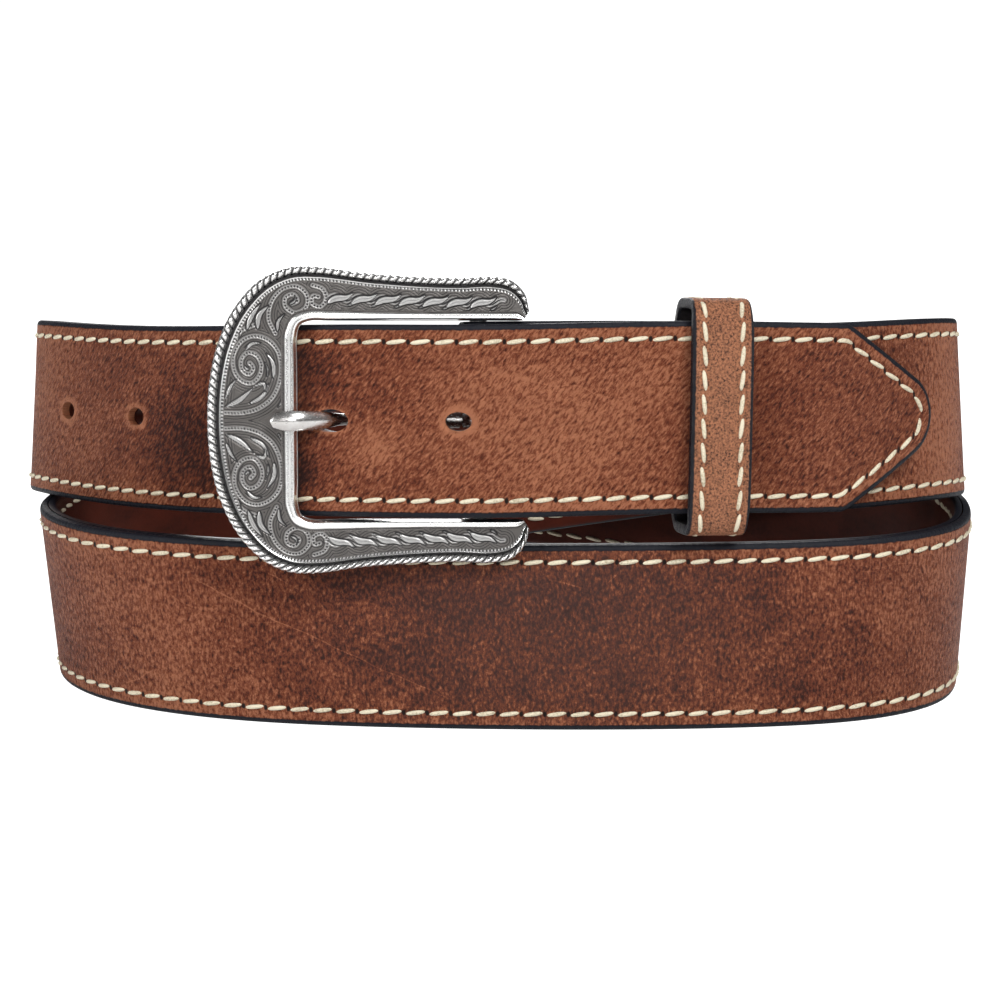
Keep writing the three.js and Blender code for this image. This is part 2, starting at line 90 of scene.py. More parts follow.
ROUTE = (
    (-4.4, 11.3, 63.6, -5.2),
    (34, 13.3, 63.5, -5),
    (60, 19.7, 62.4, -5),
    (78, 29.7, 61.8, -5),
    (90.5, 41, 61.1, -5),
    (98.4, 61, 58.8, -4.2),
    (89.5, 86.5, 55.2, -2.8),
    (63.5, 105, 49.4, -1),
    (22, 113.5, 42.3, 0),
    (-22, 114.5, 35, 0.5),
    (-62, 108, 27, 2),
    (-88.5, 89.5, 21.5, 3.5),
    (-97.3, 61, 19, 5),
    (-84.5, 33.5, 19, 6),
    (-56, 17.3, 19, 4),
    (-20, 11.6, 19, 1.7),
    (16, 10.5, 19, 0),
    (52, 12.5, 19, 0),
    (78, 19.4, 19, 1.2),
    (92, 31.5, 19, 2.3),
    (99.2, 54, 19, 3.3),
    (99.6, 74, 19.4, 3.3),
    (92, 94, 22.2, 2.9),
    (66, 113.2, 28, 1.5),
    (24, 121.8, 33.6, 0),
    (-21, 123, 39.6, 0),
    (-63, 119, 45.8, -0.6),
    (-94.5, 103, 51.5, -2.5),
    (-103, 79.5, 56.4, -4),
    (-90.5, 55.5, 58.6, -5),
    (-64, 29, 60.8, -5.5),
    (-34, 11, 63.1, -5.3),
    (-1, 6.4, 63.6, -5),
    (36, 8.9, 64, -4.5),
    (68, 18.5, 62.6, -4),
    (92, 34, 61.2, -4),
)

# Upper half of the buckle's outline, from the left bar's middle to the arm's end: outer x and z,
# inner x and z

FRAME_OUTLINE = (
    (-58, 0, -40.2, 0),
    (-57.4, 8.5, -40.2, 6.5),
    (-55.7, 15.6, -40.2, 12),
    (-52.6, 22, -40.2, 16.4),
    (-47.7, 27.5, -39.5, 18.8),
    (-42.2, 30.2, -37.4, 19.7),
    (-36.6, 30.5, -33.6, 19.7),
    (-27.5, 29.3, -25.4, 19.7),
    (-17.3, 28.5, -16.3, 19.7),
    (-8, 28.2, -8, 19.7),
    (-2, 28.4, -2.5, 19.7),
    (2.2, 27.6, 1.2, 19.7),
    (4.9, 25, 3.4, 19.7),
    (5.8, 21.6, 4.6, 19.8),
)


def natural_bends(knots: np.ndarray, values: np.ndarray) -> np.ndarray:
    """Second derivatives of the natural cubic spline through rows of values.

    Args:
        knots: Running knot of each row.
        values: One row per knot.

    Returns:
        One row of second derivatives per knot.
    """
    count = len(knots)
    gaps = np.diff(knots)
    system = np.eye(count)
    right = np.zeros_like(values)
    for i in range(1, count - 1):
        system[i, i - 1 : i + 2] = (gaps[i - 1], 2 * (gaps[i - 1] + gaps[i]), gaps[i])
        rise = (values[i + 1] - values[i]) / gaps[i] - (values[i] - values[i - 1]) / gaps[i - 1]
        right[i] = 6 * rise
    return np.linalg.solve(system, right)


def row_hypot(vectors: np.ndarray) -> np.ndarray:
    """Length of each row, kept as a column."""
    return np.linalg.norm(vectors, axis=1, keepdims=True)


class Route:
    """The middle line of the belt, measured along its length from the heel bar."""

    def __init__(self) -> None:
        """Fits the spline and measures its length."""
        self.rows = np.array(ROUTE, dtype=float)
        self.knots = running_length(self.rows[:, :3])
        self.bends = natural_bends(self.knots, self.rows)
        self.sample_knots = np.linspace(0.0, self.knots[-1], 4001)
        self.sample_lengths = running_length(self.state(self.sample_knots)[:, :3])

    def state(self, knot: np.ndarray) -> np.ndarray:
        """Place and lean at each knot.

        Args:
            knot: Knots along the spline.

        Returns:
            Rows of x, y, z in millimetres and lean in radians.
        """
        i = np.clip(np.searchsorted(self.knots, knot, side="right") - 1, 0, len(self.knots) - 2)
        gap = self.knots[i + 1] - self.knots[i]
        b = ((knot - self.knots[i]) / gap)[:, None]
        a = 1 - b
        curve = (a**3 - a) * self.bends[i] + (b**3 - b) * self.bends[i + 1]
        rows = a * self.rows[i] + b * self.rows[i + 1] + curve * (gap**2)[:, None] / 6
        rows[:, 3] = np.radians(rows[:, 3])
        floor = HALF_WIDTH * np.cos(rows[:, 3]) + HALF_THICKNESS * np.abs(np.sin(rows[:, 3]))
        rows[:, 0] -= COIL_CENTRE[0]
        rows[:, 1] -= COIL_CENTRE[1]
        rows[:, 2] = np.maximum(rows[:, 2], floor)
        return rows

    def frames(self, lengths: np.ndarray) -> tuple[np.ndarray, np.ndarray, np.ndarray, np.ndarray]:
        """Point, direction along, across (up) and out of the coil at each length.

        Args:
            lengths: Lengths along the belt; negative ones run straight on before the bar.

        Returns:
            Four arrays of rows.
        """
        on_route = np.maximum(lengths, 0.0)
        knot = np.interp(on_route, self.sample_lengths, self.sample_knots)
        before = self.state(np.maximum(knot - 0.5, 0.0))[:, :3]
        after = self.state(np.minimum(knot + 0.5, self.knots[-1]))[:, :3]
        along = (after - before) / row_hypot(after - before)
        here = self.state(knot)
        lean = here[:, 3:4]
        level = np.cross(along, (0.0, 0.0, 1.0))
        level /= row_hypot(level)
        upright = np.cross(level, along)
        across = upright * np.cos(lean) + level * np.sin(lean)
        outward = level * np.cos(lean) - upright * np.sin(lean)
        point = here[:, :3] + along * (lengths - on_route)[:, None]
        return point, along, across, outward

    def place(self, length: np.ndarray, across: np.ndarray, out: np.ndarray) -> np.ndarray:
        """Points on the belt, in metres.

        Args:
            length: Length along the belt.
            across: Height above the belt's middle line.
            out: Distance out of the coil from the belt's middle surface.

        Returns:
            Rows of x, y, z.
        """
        point, _, up, outward = self.frames(length)
        return (point + up * across[:, None] + outward * out[:, None]) * MM


class TipShape:
    """Outline of the pointed tail: straight sides, a taper and a round nose."""

    reach = math.hypot(TIP_TAPER - TIP_NOSE, HALF_WIDTH)
    side = math.atan2(HALF_WIDTH, TIP_TAPER - TIP_NOSE) - math.asin(TIP_NOSE / reach)
    nose_end = TIP_NOSE * (1 - math.sin(side))

    @classmethod
    def half_width(cls, distance: np.ndarray) -> np.ndarray:
        """Half the belt's width.

        Args:
            distance: Distances from the tip.

        Returns:
            The half width at each.
        """
        taper = HALF_WIDTH - math.tan(cls.side) * (TIP_TAPER - distance)
        nose = np.sqrt(np.maximum(TIP_NOSE**2 - (TIP_NOSE - distance) ** 2, 0.0))
        return np.where(distance >= TIP_TAPER, HALF_WIDTH, np.where(distance > cls.nose_end, taper, nose))

    @classmethod
    def edge_distance(cls, length: np.ndarray, across: np.ndarray) -> np.ndarray:
        """Distance from points of the flat belt to its outline.

        Args:
            length: Length along the belt of each point.
            across: Height of each above the belt's middle line.

        Returns:
            The distances, negative outside the outline.
        """
        distance = FOLD_TO_TIP - length
        height = np.abs(across)
        straight = HALF_WIDTH - height
        line = HALF_WIDTH - math.tan(cls.side) * (TIP_TAPER - distance)
        taper = np.where(distance < TIP_TAPER + 12, (line - height) * math.cos(cls.side), 99.0)
        nose = TIP_NOSE - np.hypot(distance - TIP_NOSE, height)
        in_nose = np.arctan2(height, TIP_NOSE - distance) <= math.pi / 2 - cls.side
        return np.where(in_nose, nose, np.minimum(straight, taper))

    @classmethod
    def corner(cls) -> float:
        """Distance from the tip at which the stitch row turns into the taper."""
        return TIP_TAPER + STITCH_INSET * (1 / math.cos(cls.side) - 1) / math.tan(cls.side)

    @classmethod
    def row_length(cls, length: np.ndarray) -> np.ndarray:
        """Length along the stitch row for each length along the belt."""
        past = np.maximum(length - (FOLD_TO_TIP - cls.corner()), 0.0)
        return length + past * (1 / math.cos(cls.side) - 1)

    @classmethod
    def stitch_path(cls, start: float) -> np.ndarray:
        """Upper half of the stitch row, as points along and across the flat belt.

        Args:
            start: Length along the belt where the row starts.

        Returns:
            Rows of length and height, up to the row's point at the tip.
        """
        radius = TIP_NOSE - STITCH_INSET
        points = [(start, HALF_WIDTH - STITCH_INSET)]
        points.append((FOLD_TO_TIP - cls.corner(), HALF_WIDTH - STITCH_INSET))
        for angle in np.linspace(math.pi / 2 - cls.side, 0.0, 8):
            points.append((FOLD_TO_TIP - TIP_NOSE + radius * math.cos(angle), radius * math.sin(angle)))
        return np.array(points)


# Helpers for meshes


def clear_selection() -> None:
    """Leaves object mode with nothing selected."""
    if bpy.context.object and bpy.context.object.mode != "OBJECT":
        bpy.ops.object.mode_set(mode="OBJECT")
    bpy.ops.object.select_all(action="DESELECT")


def activate(piece: bpy.types.Object) -> None:
    """Makes one object the only selected and the active one."""
    clear_selection()
    piece.select_set(True)
    bpy.context.view_layer.objects.active = piece


def join_into(piece: bpy.types.Object, *others: bpy.types.Object) -> None:
    """Joins other objects into a piece.

    Args:
        piece: The piece that stays.
        others: The objects that become part of it.
    """
    activate(piece)
    for other in others:
        other.select_set(True)
    bpy.ops.object.join()


def taken(name: str) -> bpy.types.Object:
    """Names the object that an operator has just added.

    Args:
        name: The new name.

    Returns:
        The object.
    """
    piece = bpy.context.object
    piece.name = name
    piece.data.name = name
    return piece


def points_of(piece: bpy.types.Object) -> np.ndarray:
    """The vertices of a piece as rows."""
    flat = np.empty(len(piece.data.vertices) * 3)
    piece.data.vertices.foreach_get("co", flat)
    return flat.reshape(-1, 3)


def set_points(piece: bpy.types.Object, points: np.ndarray) -> None:
    """Moves the vertices of a piece."""
    piece.data.vertices.foreach_set("co", np.ascontiguousarray(points, dtype=float).ravel())
    piece.data.update()


def apply_modifier(piece: bpy.types.Object, kind: str, **settings: object) -> None:
    """Adds a modifier, sets it and applies it.

    Args:
        piece: The object.
        kind: The modifier's type.
        settings: Its properties.
    """
    activate(piece)
    modifier = piece.modifiers.new(kind.title(), kind)
    for key, value in settings.items():
        setattr(modifier, key, value)
    bpy.ops.object.modifier_apply(modifier=modifier.name)


@contextmanager
def all_selected(piece: bpy.types.Object) -> Iterator[None]:
    """Keeps a piece in edit mode with all of it selected, and leaves edit mode afterwards.

    Args:
        piece: The piece.
    """
    activate(piece)
    bpy.ops.object.mode_set(mode="EDIT")
    bpy.ops.mesh.select_all(action="SELECT")
    yield
    bpy.ops.object.mode_set(mode="OBJECT")


def recalculate_normals(piece: bpy.types.Object) -> None:
    """Merges doubles and turns all faces outwards."""
    with all_selected(piece):
        bpy.ops.mesh.remove_doubles(threshold=1e-6)
        bpy.ops.mesh.normals_make_consistent(inside=False)


def smooth(piece: bpy.types.Object, degrees: float) -> None:
    """Shades a piece smooth, with edges sharper than an angle kept."""
    activate(piece)
    bpy.ops.object.shade_smooth_by_angle(angle=math.radians(degrees))


def set_attribute(piece: bpy.types.Object, name: str, values: np.ndarray) -> None:
    """Stores one number for each vertex."""
    layer = piece.data.attributes.new(name, "FLOAT", "POINT")
    layer.data.foreach_set("value", np.ascontiguousarray(values, dtype=np.float32))


def set_uv(piece: bpy.types.Object, per_vertex: np.ndarray) -> None:
    """Stores a UV map.

    Args:
        piece: The object.
        per_vertex: One pair of numbers for each vertex.
    """
    mesh = piece.data
    layer = mesh.uv_layers[0] if mesh.uv_layers else mesh.uv_layers.new(name="Belt")
    layer.name = "Belt"
    corners = np.empty(len(mesh.loops), dtype=np.int32)
    mesh.loops.foreach_get("vertex_index", corners)
    layer.data.foreach_set("uv", per_vertex[corners].astype(np.float32).ravel())


def mesh_piece(name: str, points: np.ndarray, faces: list[tuple[int, ...]]) -> bpy.types.Object:
    """A new object.

    Args:
        name: Its name.
        points: Its points.
        faces: Its faces.

    Returns:
        The object.
    """
    mesh = bpy.data.meshes.new(name)
    mesh.from_pydata(points.tolist(), [], faces)
    mesh.validate()
    piece = bpy.data.objects.new(name, mesh)
    bpy.context.scene.collection.objects.link(piece)
    return piece


def lofted_faces(rings: int, size: int) -> list[tuple[int, ...]]:
    """Faces of a closed loft between rings of equally many points.

    Args:
        rings: How many rings.
        size: How many points each has.

    Returns:
        The side faces and both ends.
    """
    faces: list[tuple[int, ...]] = []
    for i in range(rings - 1):
        for j in range(size):
            a = i * size + j
            b = i * size + (j + 1) % size
            faces.append((a, b, b + size, a + size))
    faces.append(tuple(range(size)))
    faces.append(tuple(reversed(range((rings - 1) * size, rings * size))))
    return faces


def along_polyline(running: np.ndarray, rows: np.ndarray, at: np.ndarray) -> np.ndarray:
    """Points at given lengths along a flat polyline."""
    return np.stack([np.interp(at, running, rows[:, k]) for k in (0, 1)], axis=1)


def running_length(rows: np.ndarray) -> np.ndarray:
    """Length along a polyline up to each of its points."""
    return np.concatenate([[0.0], np.cumsum(row_hypot(np.diff(rows, axis=0))[:, 0])])


def smoothstep(low: float, high: float, values: np.ndarray) -> np.ndarray:
    """Smooth step from 0 at low to 1 at high, where low may be the larger."""
    t = np.clip((values - low) / (high - low), 0.0, 1.0)
    return t * t * (3 - 2 * t)


def band(stops: tuple[float, float, float, float], values: np.ndarray) -> np.ndarray:
    """1 between the inner two stops, fading to 0 at the outer two."""
    return smoothstep(stops[0], stops[1], values) * smoothstep(stops[3], stops[2], values)


def swell(middle: float, reach: float, values: np.ndarray) -> np.ndarray:
    """A round swelling of height 1 about a middle."""
    return np.exp(-(((values - middle) / reach) ** 2))


class Slot(Enum):
    """Material slots of the record."""

    STRAP = "strap_leather"
    LINING = "lining_leather"
    KEEPER = "keeper_leather"
    METAL = "buckle_metal"


def finish_piece(
    piece: bpy.types.Object, material: bpy.types.Material, slot: Slot, *replaced: str
) -> bpy.types.Object:
    """Gives a piece its finish and its place in the frame.

    Args:
        piece: The finished object.
        material: Its material.
        slot: The record's slot that the finish belongs to; not used.
        replaced: Nodes that the piece stands for.

    Returns:
        The same object.
    """
    piece.data.materials.clear()
    piece.data.materials.append(material)
    if replaced:
        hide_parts(*replaced)
    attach(piece, "root")
    log.info("%s: %d faces", piece.name, len(piece.data.polygons))
    return piece


# Shader nodes


class Value:
    """What a node gives: a number, a vector or a colour. Arithmetic on a number makes math nodes."""

    def __init__(self, graph: "Graph", socket: bpy.types.NodeSocket) -> None:
        """Keeps the socket and the graph it belongs to."""
        self.graph = graph
        self.socket = socket

    def __add__(self, other: object) -> "Value":
        """The sum."""
        return self.graph.math("ADD", self, other)

    def __sub__(self, other: object) -> "Value":
        """The difference."""
        return self.graph.math("SUBTRACT", self, other)

    def __rsub__(self, other: object) -> "Value":
        """What is left of a plain number."""
        return self.graph.math("SUBTRACT", other, self)

    def __mul__(self, other: object) -> "Value":
        """The product."""
        return self.graph.math("MULTIPLY", self, other)

    def __truediv__(self, other: object) -> "Value":
        """The quotient."""
        return self.graph.math("DIVIDE", self, other)

    def clamped(self) -> "Value":
        """The same number, held between 0 and 1."""
        return self.graph.math("ADD", self, 0.0, clamp=True)


class Graph:
    """Short hand for building a node tree."""

    def __init__(self, tree: bpy.types.NodeTree) -> None:
        """Keeps the tree."""
        self.tree = tree

    def add(self, kind: str, **settings: object) -> bpy.types.Node:
        """Adds a node.

        Args:
            kind: The node's type.
            settings: Properties to set on it.

        Returns:
            The node.
        """
        node = self.tree.nodes.new(kind)
        for key, value in settings.items():
            setattr(node, key, value)
        return node

    def value(self, socket: bpy.types.NodeSocket) -> Value:
        """A socket's value, ready for arithmetic."""
        return Value(self, socket)

    def feed(self, socket: bpy.types.NodeSocket, value: object) -> None:
        """Links a value to a socket, or sets a plain one on it.

        Args:
            socket: The input.
            value: A Value, a socket, or a number or colour.
        """
        source = value.socket if isinstance(value, Value) else value
        if isinstance(source, bpy.types.NodeSocket):
            self.tree.links.new(source, socket)
        else:
            socket.default_value = source

    def math(self, operation: str, a: object, b: object = 0.0, clamp: bool = False) -> Value:
        """A math node's result.

        Args:
            operation: The node's operation.
            a: First number.
            b: Second number, where the operation takes one.
            clamp: Whether the result is held between 0 and 1.

        Returns:
            The result.
        """
        node = self.add("ShaderNodeMath", operation=operation, use_clamp=clamp)
        self.feed(node.inputs[0], a)
        self.feed(node.inputs[1], b)
        return self.value(node.outputs[0])

    def hypot(self, a: Value, b: Value) -> Value:
        """Length of a pair of numbers."""
        return self.math("SQRT", a * a + b * b)

    def step(self, value: object, low: float, high: float) -> Value:
        """A smooth step, from 0 at low to 1 at high.

        Args:
            value: The number.
            low: Where the step is 0; it may be the larger of the two.
            high: Where the step is 1.

        Returns:
            The step.
        """
        node = self.add("ShaderNodeMapRange", interpolation_type="SMOOTHSTEP")
        self.feed(node.inputs["Value"], value)
        rising = low < high
        node.inputs["From Min"].default_value = low if rising else high
        node.inputs["From Max"].default_value = high if rising else low
        node.inputs["To Min"].default_value = 0.0 if rising else 1.0
        node.inputs["To Max"].default_value = 1.0 if rising else 0.0
        return self.value(node.outputs["Result"])

    def mix(self, factor: object, a: object, b: object) -> Value:
        """Two colours mixed.

        Args:
            factor: How much of the second.
            a: First colour.
            b: Second colour.

        Returns:
            The mixed colour.
        """
        node = self.add("ShaderNodeMix", data_type="RGBA")
        self.feed(node.inputs["Factor"], factor)
        for socket, colour in ((node.inputs[6], a), (node.inputs[7], b)):
            self.feed(socket, (*colour, 1.0) if isinstance(colour, tuple) else colour)
        return self.value(node.outputs[2])

    def split(self, vector: object) -> tuple[Value, Value]:
        """The first two parts of a vector."""
        node = self.add("ShaderNodeSeparateXYZ")
        self.feed(node.inputs[0], vector)
        return self.value(node.outputs[0]), self.value(node.outputs[1])

    def joined(self, x: object, y: object) -> Value:
        """A flat vector made of two numbers.

        Args:
            x: The first.
            y: The second.

        Returns:
            The vector.
        """
        node = self.add("ShaderNodeCombineXYZ")
        self.feed(node.inputs[0], x)
        self.feed(node.inputs[1], y)
        return self.value(node.outputs[0])

    def scale(self, vector: object, factors: tuple[float, float, float]) -> Value:
        """A vector scaled on each axis.

        Args:
            vector: The vector.
            factors: What each axis is multiplied by.

        Returns:
            The scaled vector.
        """
        node = self.add("ShaderNodeMapping")
        self.feed(node.inputs["Vector"], vector)
        node.inputs["Scale"].default_value = factors
        return self.value(node.outputs["Vector"])

    def noise(
        self,
        vector: object,
        scale: float,
        detail: float = 2.0,
        roughness: float = 0.5,
        distortion: float = 0.0,
    ) -> Value:
        """A noise texture's number.

        Args:
            vector: Where it is read.
            scale: How fine it is.
            detail: How many finer layers it has.
            roughness: How strong those are.
            distortion: How far it is warped.

        Returns:
            The number, about 0 to 1.
        """
        node = self.add("ShaderNodeTexNoise")
        self.feed(node.inputs["Vector"], vector)
        node.inputs["Scale"].default_value = scale
        node.inputs["Detail"].default_value = detail
        node.inputs["Roughness"].default_value = roughness
        node.inputs["Distortion"].default_value = distortion
        return self.value(node.outputs["Fac"])

    def voronoi(self, vector: object, scale: float) -> Value:
        """Distance to the nearest cell point of a Voronoi texture.

        Args:
            vector: Where it is read.
            scale: How fine its cells are.

        Returns:
            The distance.
        """
        node = self.add("ShaderNodeTexVoronoi")
        self.feed(node.inputs["Vector"], vector)
        node.inputs["Scale"].default_value = scale
        return self.value(node.outputs["Distance"])

    def bump(self, height: object, strength: float, distance: float) -> Value:
        """A bumped normal.

        Args:
            height: The relief.
            strength: How much of it is used.
            distance: Depth of a relief of 1, in metres.

        Returns:
            The normal.
        """
        node = self.add("ShaderNodeBump")
        node.inputs["Strength"].default_value = strength
        node.inputs["Distance"].default_value = distance
        self.feed(node.inputs["Height"], height)
        return self.value(node.outputs["Normal"])

    def attribute(self, name: str) -> Value:
        """A vertex attribute's number."""
        return self.value(self.add("ShaderNodeAttribute", attribute_name=name).outputs["Fac"])


def shader_group(
    name: str, inputs: dict[str, float], outputs: tuple[str, ...]
) -> tuple[Graph, bpy.types.Node, bpy.types.Node]:
    """A new node group with a vector and numbers as inputs, and numbers as outputs.

    Args:
        name: The group's name.
        inputs: Its numbers and their defaults.
        outputs: What it gives.

    Returns:
        The graph, its input node and its output node.
    """
    tree = bpy.data.node_groups.new(name, "ShaderNodeTree")
    tree.interface.new_socket("Vector", in_out="INPUT", socket_type="NodeSocketVector")
    for key, value in inputs.items():
        socket = tree.interface.new_socket(key, in_out="INPUT", socket_type="NodeSocketFloat")
        socket.default_value = value
    for key in outputs:
        tree.interface.new_socket(key, in_out="OUTPUT", socket_type="NodeSocketFloat")
    graph = Graph(tree)
    return graph, graph.add("NodeGroupInput"), graph.add("NodeGroupOutput")


def hide_grain_group() -> bpy.types.NodeTree:
    """Creased grain of a hide: plump cells with valleys between them, and finer wrinkles.

    Returns:
        The group. Its vector is in millimetres along and across the belt.
    """
    graph, source, result = shader_group("Hide grain", {"Along": 1.0, "Across": 0.5}, ("Height", "Crease"))
    scaled = graph.add("ShaderNodeVectorMath", operation="MULTIPLY")
    graph.feed(scaled.inputs[0], source.outputs["Vector"])
    graph.feed(scaled.inputs[1], graph.joined(source.outputs["Along"], source.outputs["Across"]))
    warp = graph.add("ShaderNodeTexNoise", noise_dimensions="2D")
    graph.feed(warp.inputs["Vector"], scaled.outputs[0])
    warp.inputs["Scale"].default_value = 0.55
    warp.inputs["Detail"].default_value = 3.0
    shifted = graph.add("ShaderNodeVectorMath", operation="MULTIPLY_ADD")
    graph.feed(shifted.inputs[0], warp.outputs["Color"])
    shifted.inputs[1].default_value = (1.9, 1.5, 0.0)
    graph.feed(shifted.inputs[2], scaled.outputs[0])
    cells = graph.add("ShaderNodeTexVoronoi", feature="SMOOTH_F1", voronoi_dimensions="2D")
    graph.feed(cells.inputs["Vector"], shifted.outputs[0])
    cells.inputs["Scale"].default_value = 1.0
    cells.inputs["Smoothness"].default_value = 0.6
    wrinkles = graph.noise(shifted.outputs[0], 1.15, 6.0, 0.74)
    crease = graph.step(cells.outputs["Distance"], 0.2, 0.9)
    graph.feed(result.inputs["Height"], wrinkles * 1.35 - crease * 0.22)
    graph.feed(result.inputs["Crease"], crease)
    return graph.tree


def scratch_group() -> bpy.types.NodeTree:
    """Sparse fine scratches across a surface, in three directions.

    Returns:
        The group, with a mask of the scratches.
    """
    graph, source, result = shader_group("Scratches", {"Amount": 0.5}, ("Mask",))
    marks = []
    for turn, spacing in ((0.62, 23.0), (-0.9, 31.0), (0.25, 37.0)):
        turned = graph.add("ShaderNodeVectorRotate", rotation_type="Z_AXIS")
        graph.feed(turned.inputs["Vector"], source.outputs["Vector"])
        turned.inputs["Angle"].default_value = turn
        place = turned.outputs[0]
        _, across = graph.split(place)
        phase = graph.math("FRACT", (across + graph.noise(place, 0.04, 2.0) * 26.0) / spacing)
        line = graph.step(graph.math("ABSOLUTE", phase - 0.5) * spacing, 0.16, 0.04)
        broken = graph.step(graph.noise(graph.scale(place, (0.035, 0.2, 1)), 1.0, 2.0), 0.5, 0.62)
        marks.append(line * broken)
    strongest = graph.math("MAXIMUM", graph.math("MAXIMUM", marks[0], marks[1]), marks[2])
    graph.feed(result.inputs["Mask"], (strongest * source.outputs["Amount"]).clamped())
    return graph.tree


GROUP_MAKERS = {"Hide grain": hide_grain_group, "Scratches": scratch_group}


def placed_group(graph: Graph, name: str, vector: object, **values: float) -> dict[str, Value]:
    """Puts a shared effect into a material, with its own values.

    Args:
        graph: The material's graph.
        name: The effect.
        vector: Where it is read.
        values: Its numbers.

    Returns:
        What the effect gives, by name.
    """
    node = graph.add("ShaderNodeGroup")
    node.node_tree = bpy.data.node_groups.get(name) or GROUP_MAKERS[name]()
    graph.feed(node.inputs["Vector"], vector)
    for key, value in values.items():
        node.inputs[key].default_value = value
    return {socket.name: graph.value(socket) for socket in node.outputs}


def new_material(name: str) -> tuple[bpy.types.Material, Graph, bpy.types.Node]:
    """A material with its graph and its Principled shader."""
    material = bpy.data.materials.new(name)
    material.use_nodes = True
    return material, Graph(material.node_tree), material.node_tree.nodes["Principled BSDF"]


def belt_millimetres(graph: Graph) -> Value:
    """The piece's UV map in millimetres along and across the belt."""
    uv = graph.add("ShaderNodeUVMap", uv_map="Belt")
    return graph.scale(uv.outputs[0], (1 / UV_PER_MM,) * 3)


def edge_paint_mask(graph: Graph, where: Value, edge: Value, reach: float) -> Value:
    """Mask of the painted edge, with a slightly uneven border."""
    uneven = (graph.noise(where, 0.9, 2.0) - 0.5) * 0.5
    return graph.step(edge + uneven, reach + 0.12, reach - 0.12)


@dataclass(frozen=True)
class EdgePaint:
    """Burnished blue-black edge paint."""

    colour: tuple[float, float, float] = (0.004, 0.0045, 0.008)
    reach: float = 1.1


@dataclass(frozen=True)
class Patch:
    """A lighter or darker cloud of the leather, placed along and across the belt. Some of the darker ones
    are painted shadow, not the leather's own tone.
    """

    place: str
    length: float
    across: float
    half_length: float
    half_height: float
    tone: float


PATCHES = (
    Patch("middle of the lower front", 508, 3, 74, 34, -0.22),
    Patch("lower front, left", 424, 0, 26, 34, 0.14),
    Patch("lower front, right", 592, 0, 20, 34, 0.10),
    Patch("front, right of the prong", 1036, 2, 36, 22, 0.24),
    # The next two darken the tail inside the buckle's window round the prong: painted shadow of the prong
    # and the left bar
    Patch("above the prong", 986, 9, 12, 13, -0.20),
    Patch("below the prong", 983, -12, 7, 10, -0.50),
    Patch("pull-up beside the used hole", 1000, -5, 9, 8, 0.26),
    # Painted shadow of the buckle's frame on the strap where it runs behind the left bar
    Patch("left of the buckle", 957, -3, 16, 19, -0.34),
    Patch("left end of the tail", 903, 0, 30, 34, 0.20),
    Patch("right of the tip", 106, 0, 16, 34, 0.28),
)
COOL_PATCH = Patch("greyer middle of the lower front", 512, 3, 66, 40, 0.42)

# Long scratches, each from one length and height to another

LONG_SCRATCHES = (
    (434, 12, 492, -14),
    (448, 15, 462, 8),
    (505, 13, 520, 9.5),
)


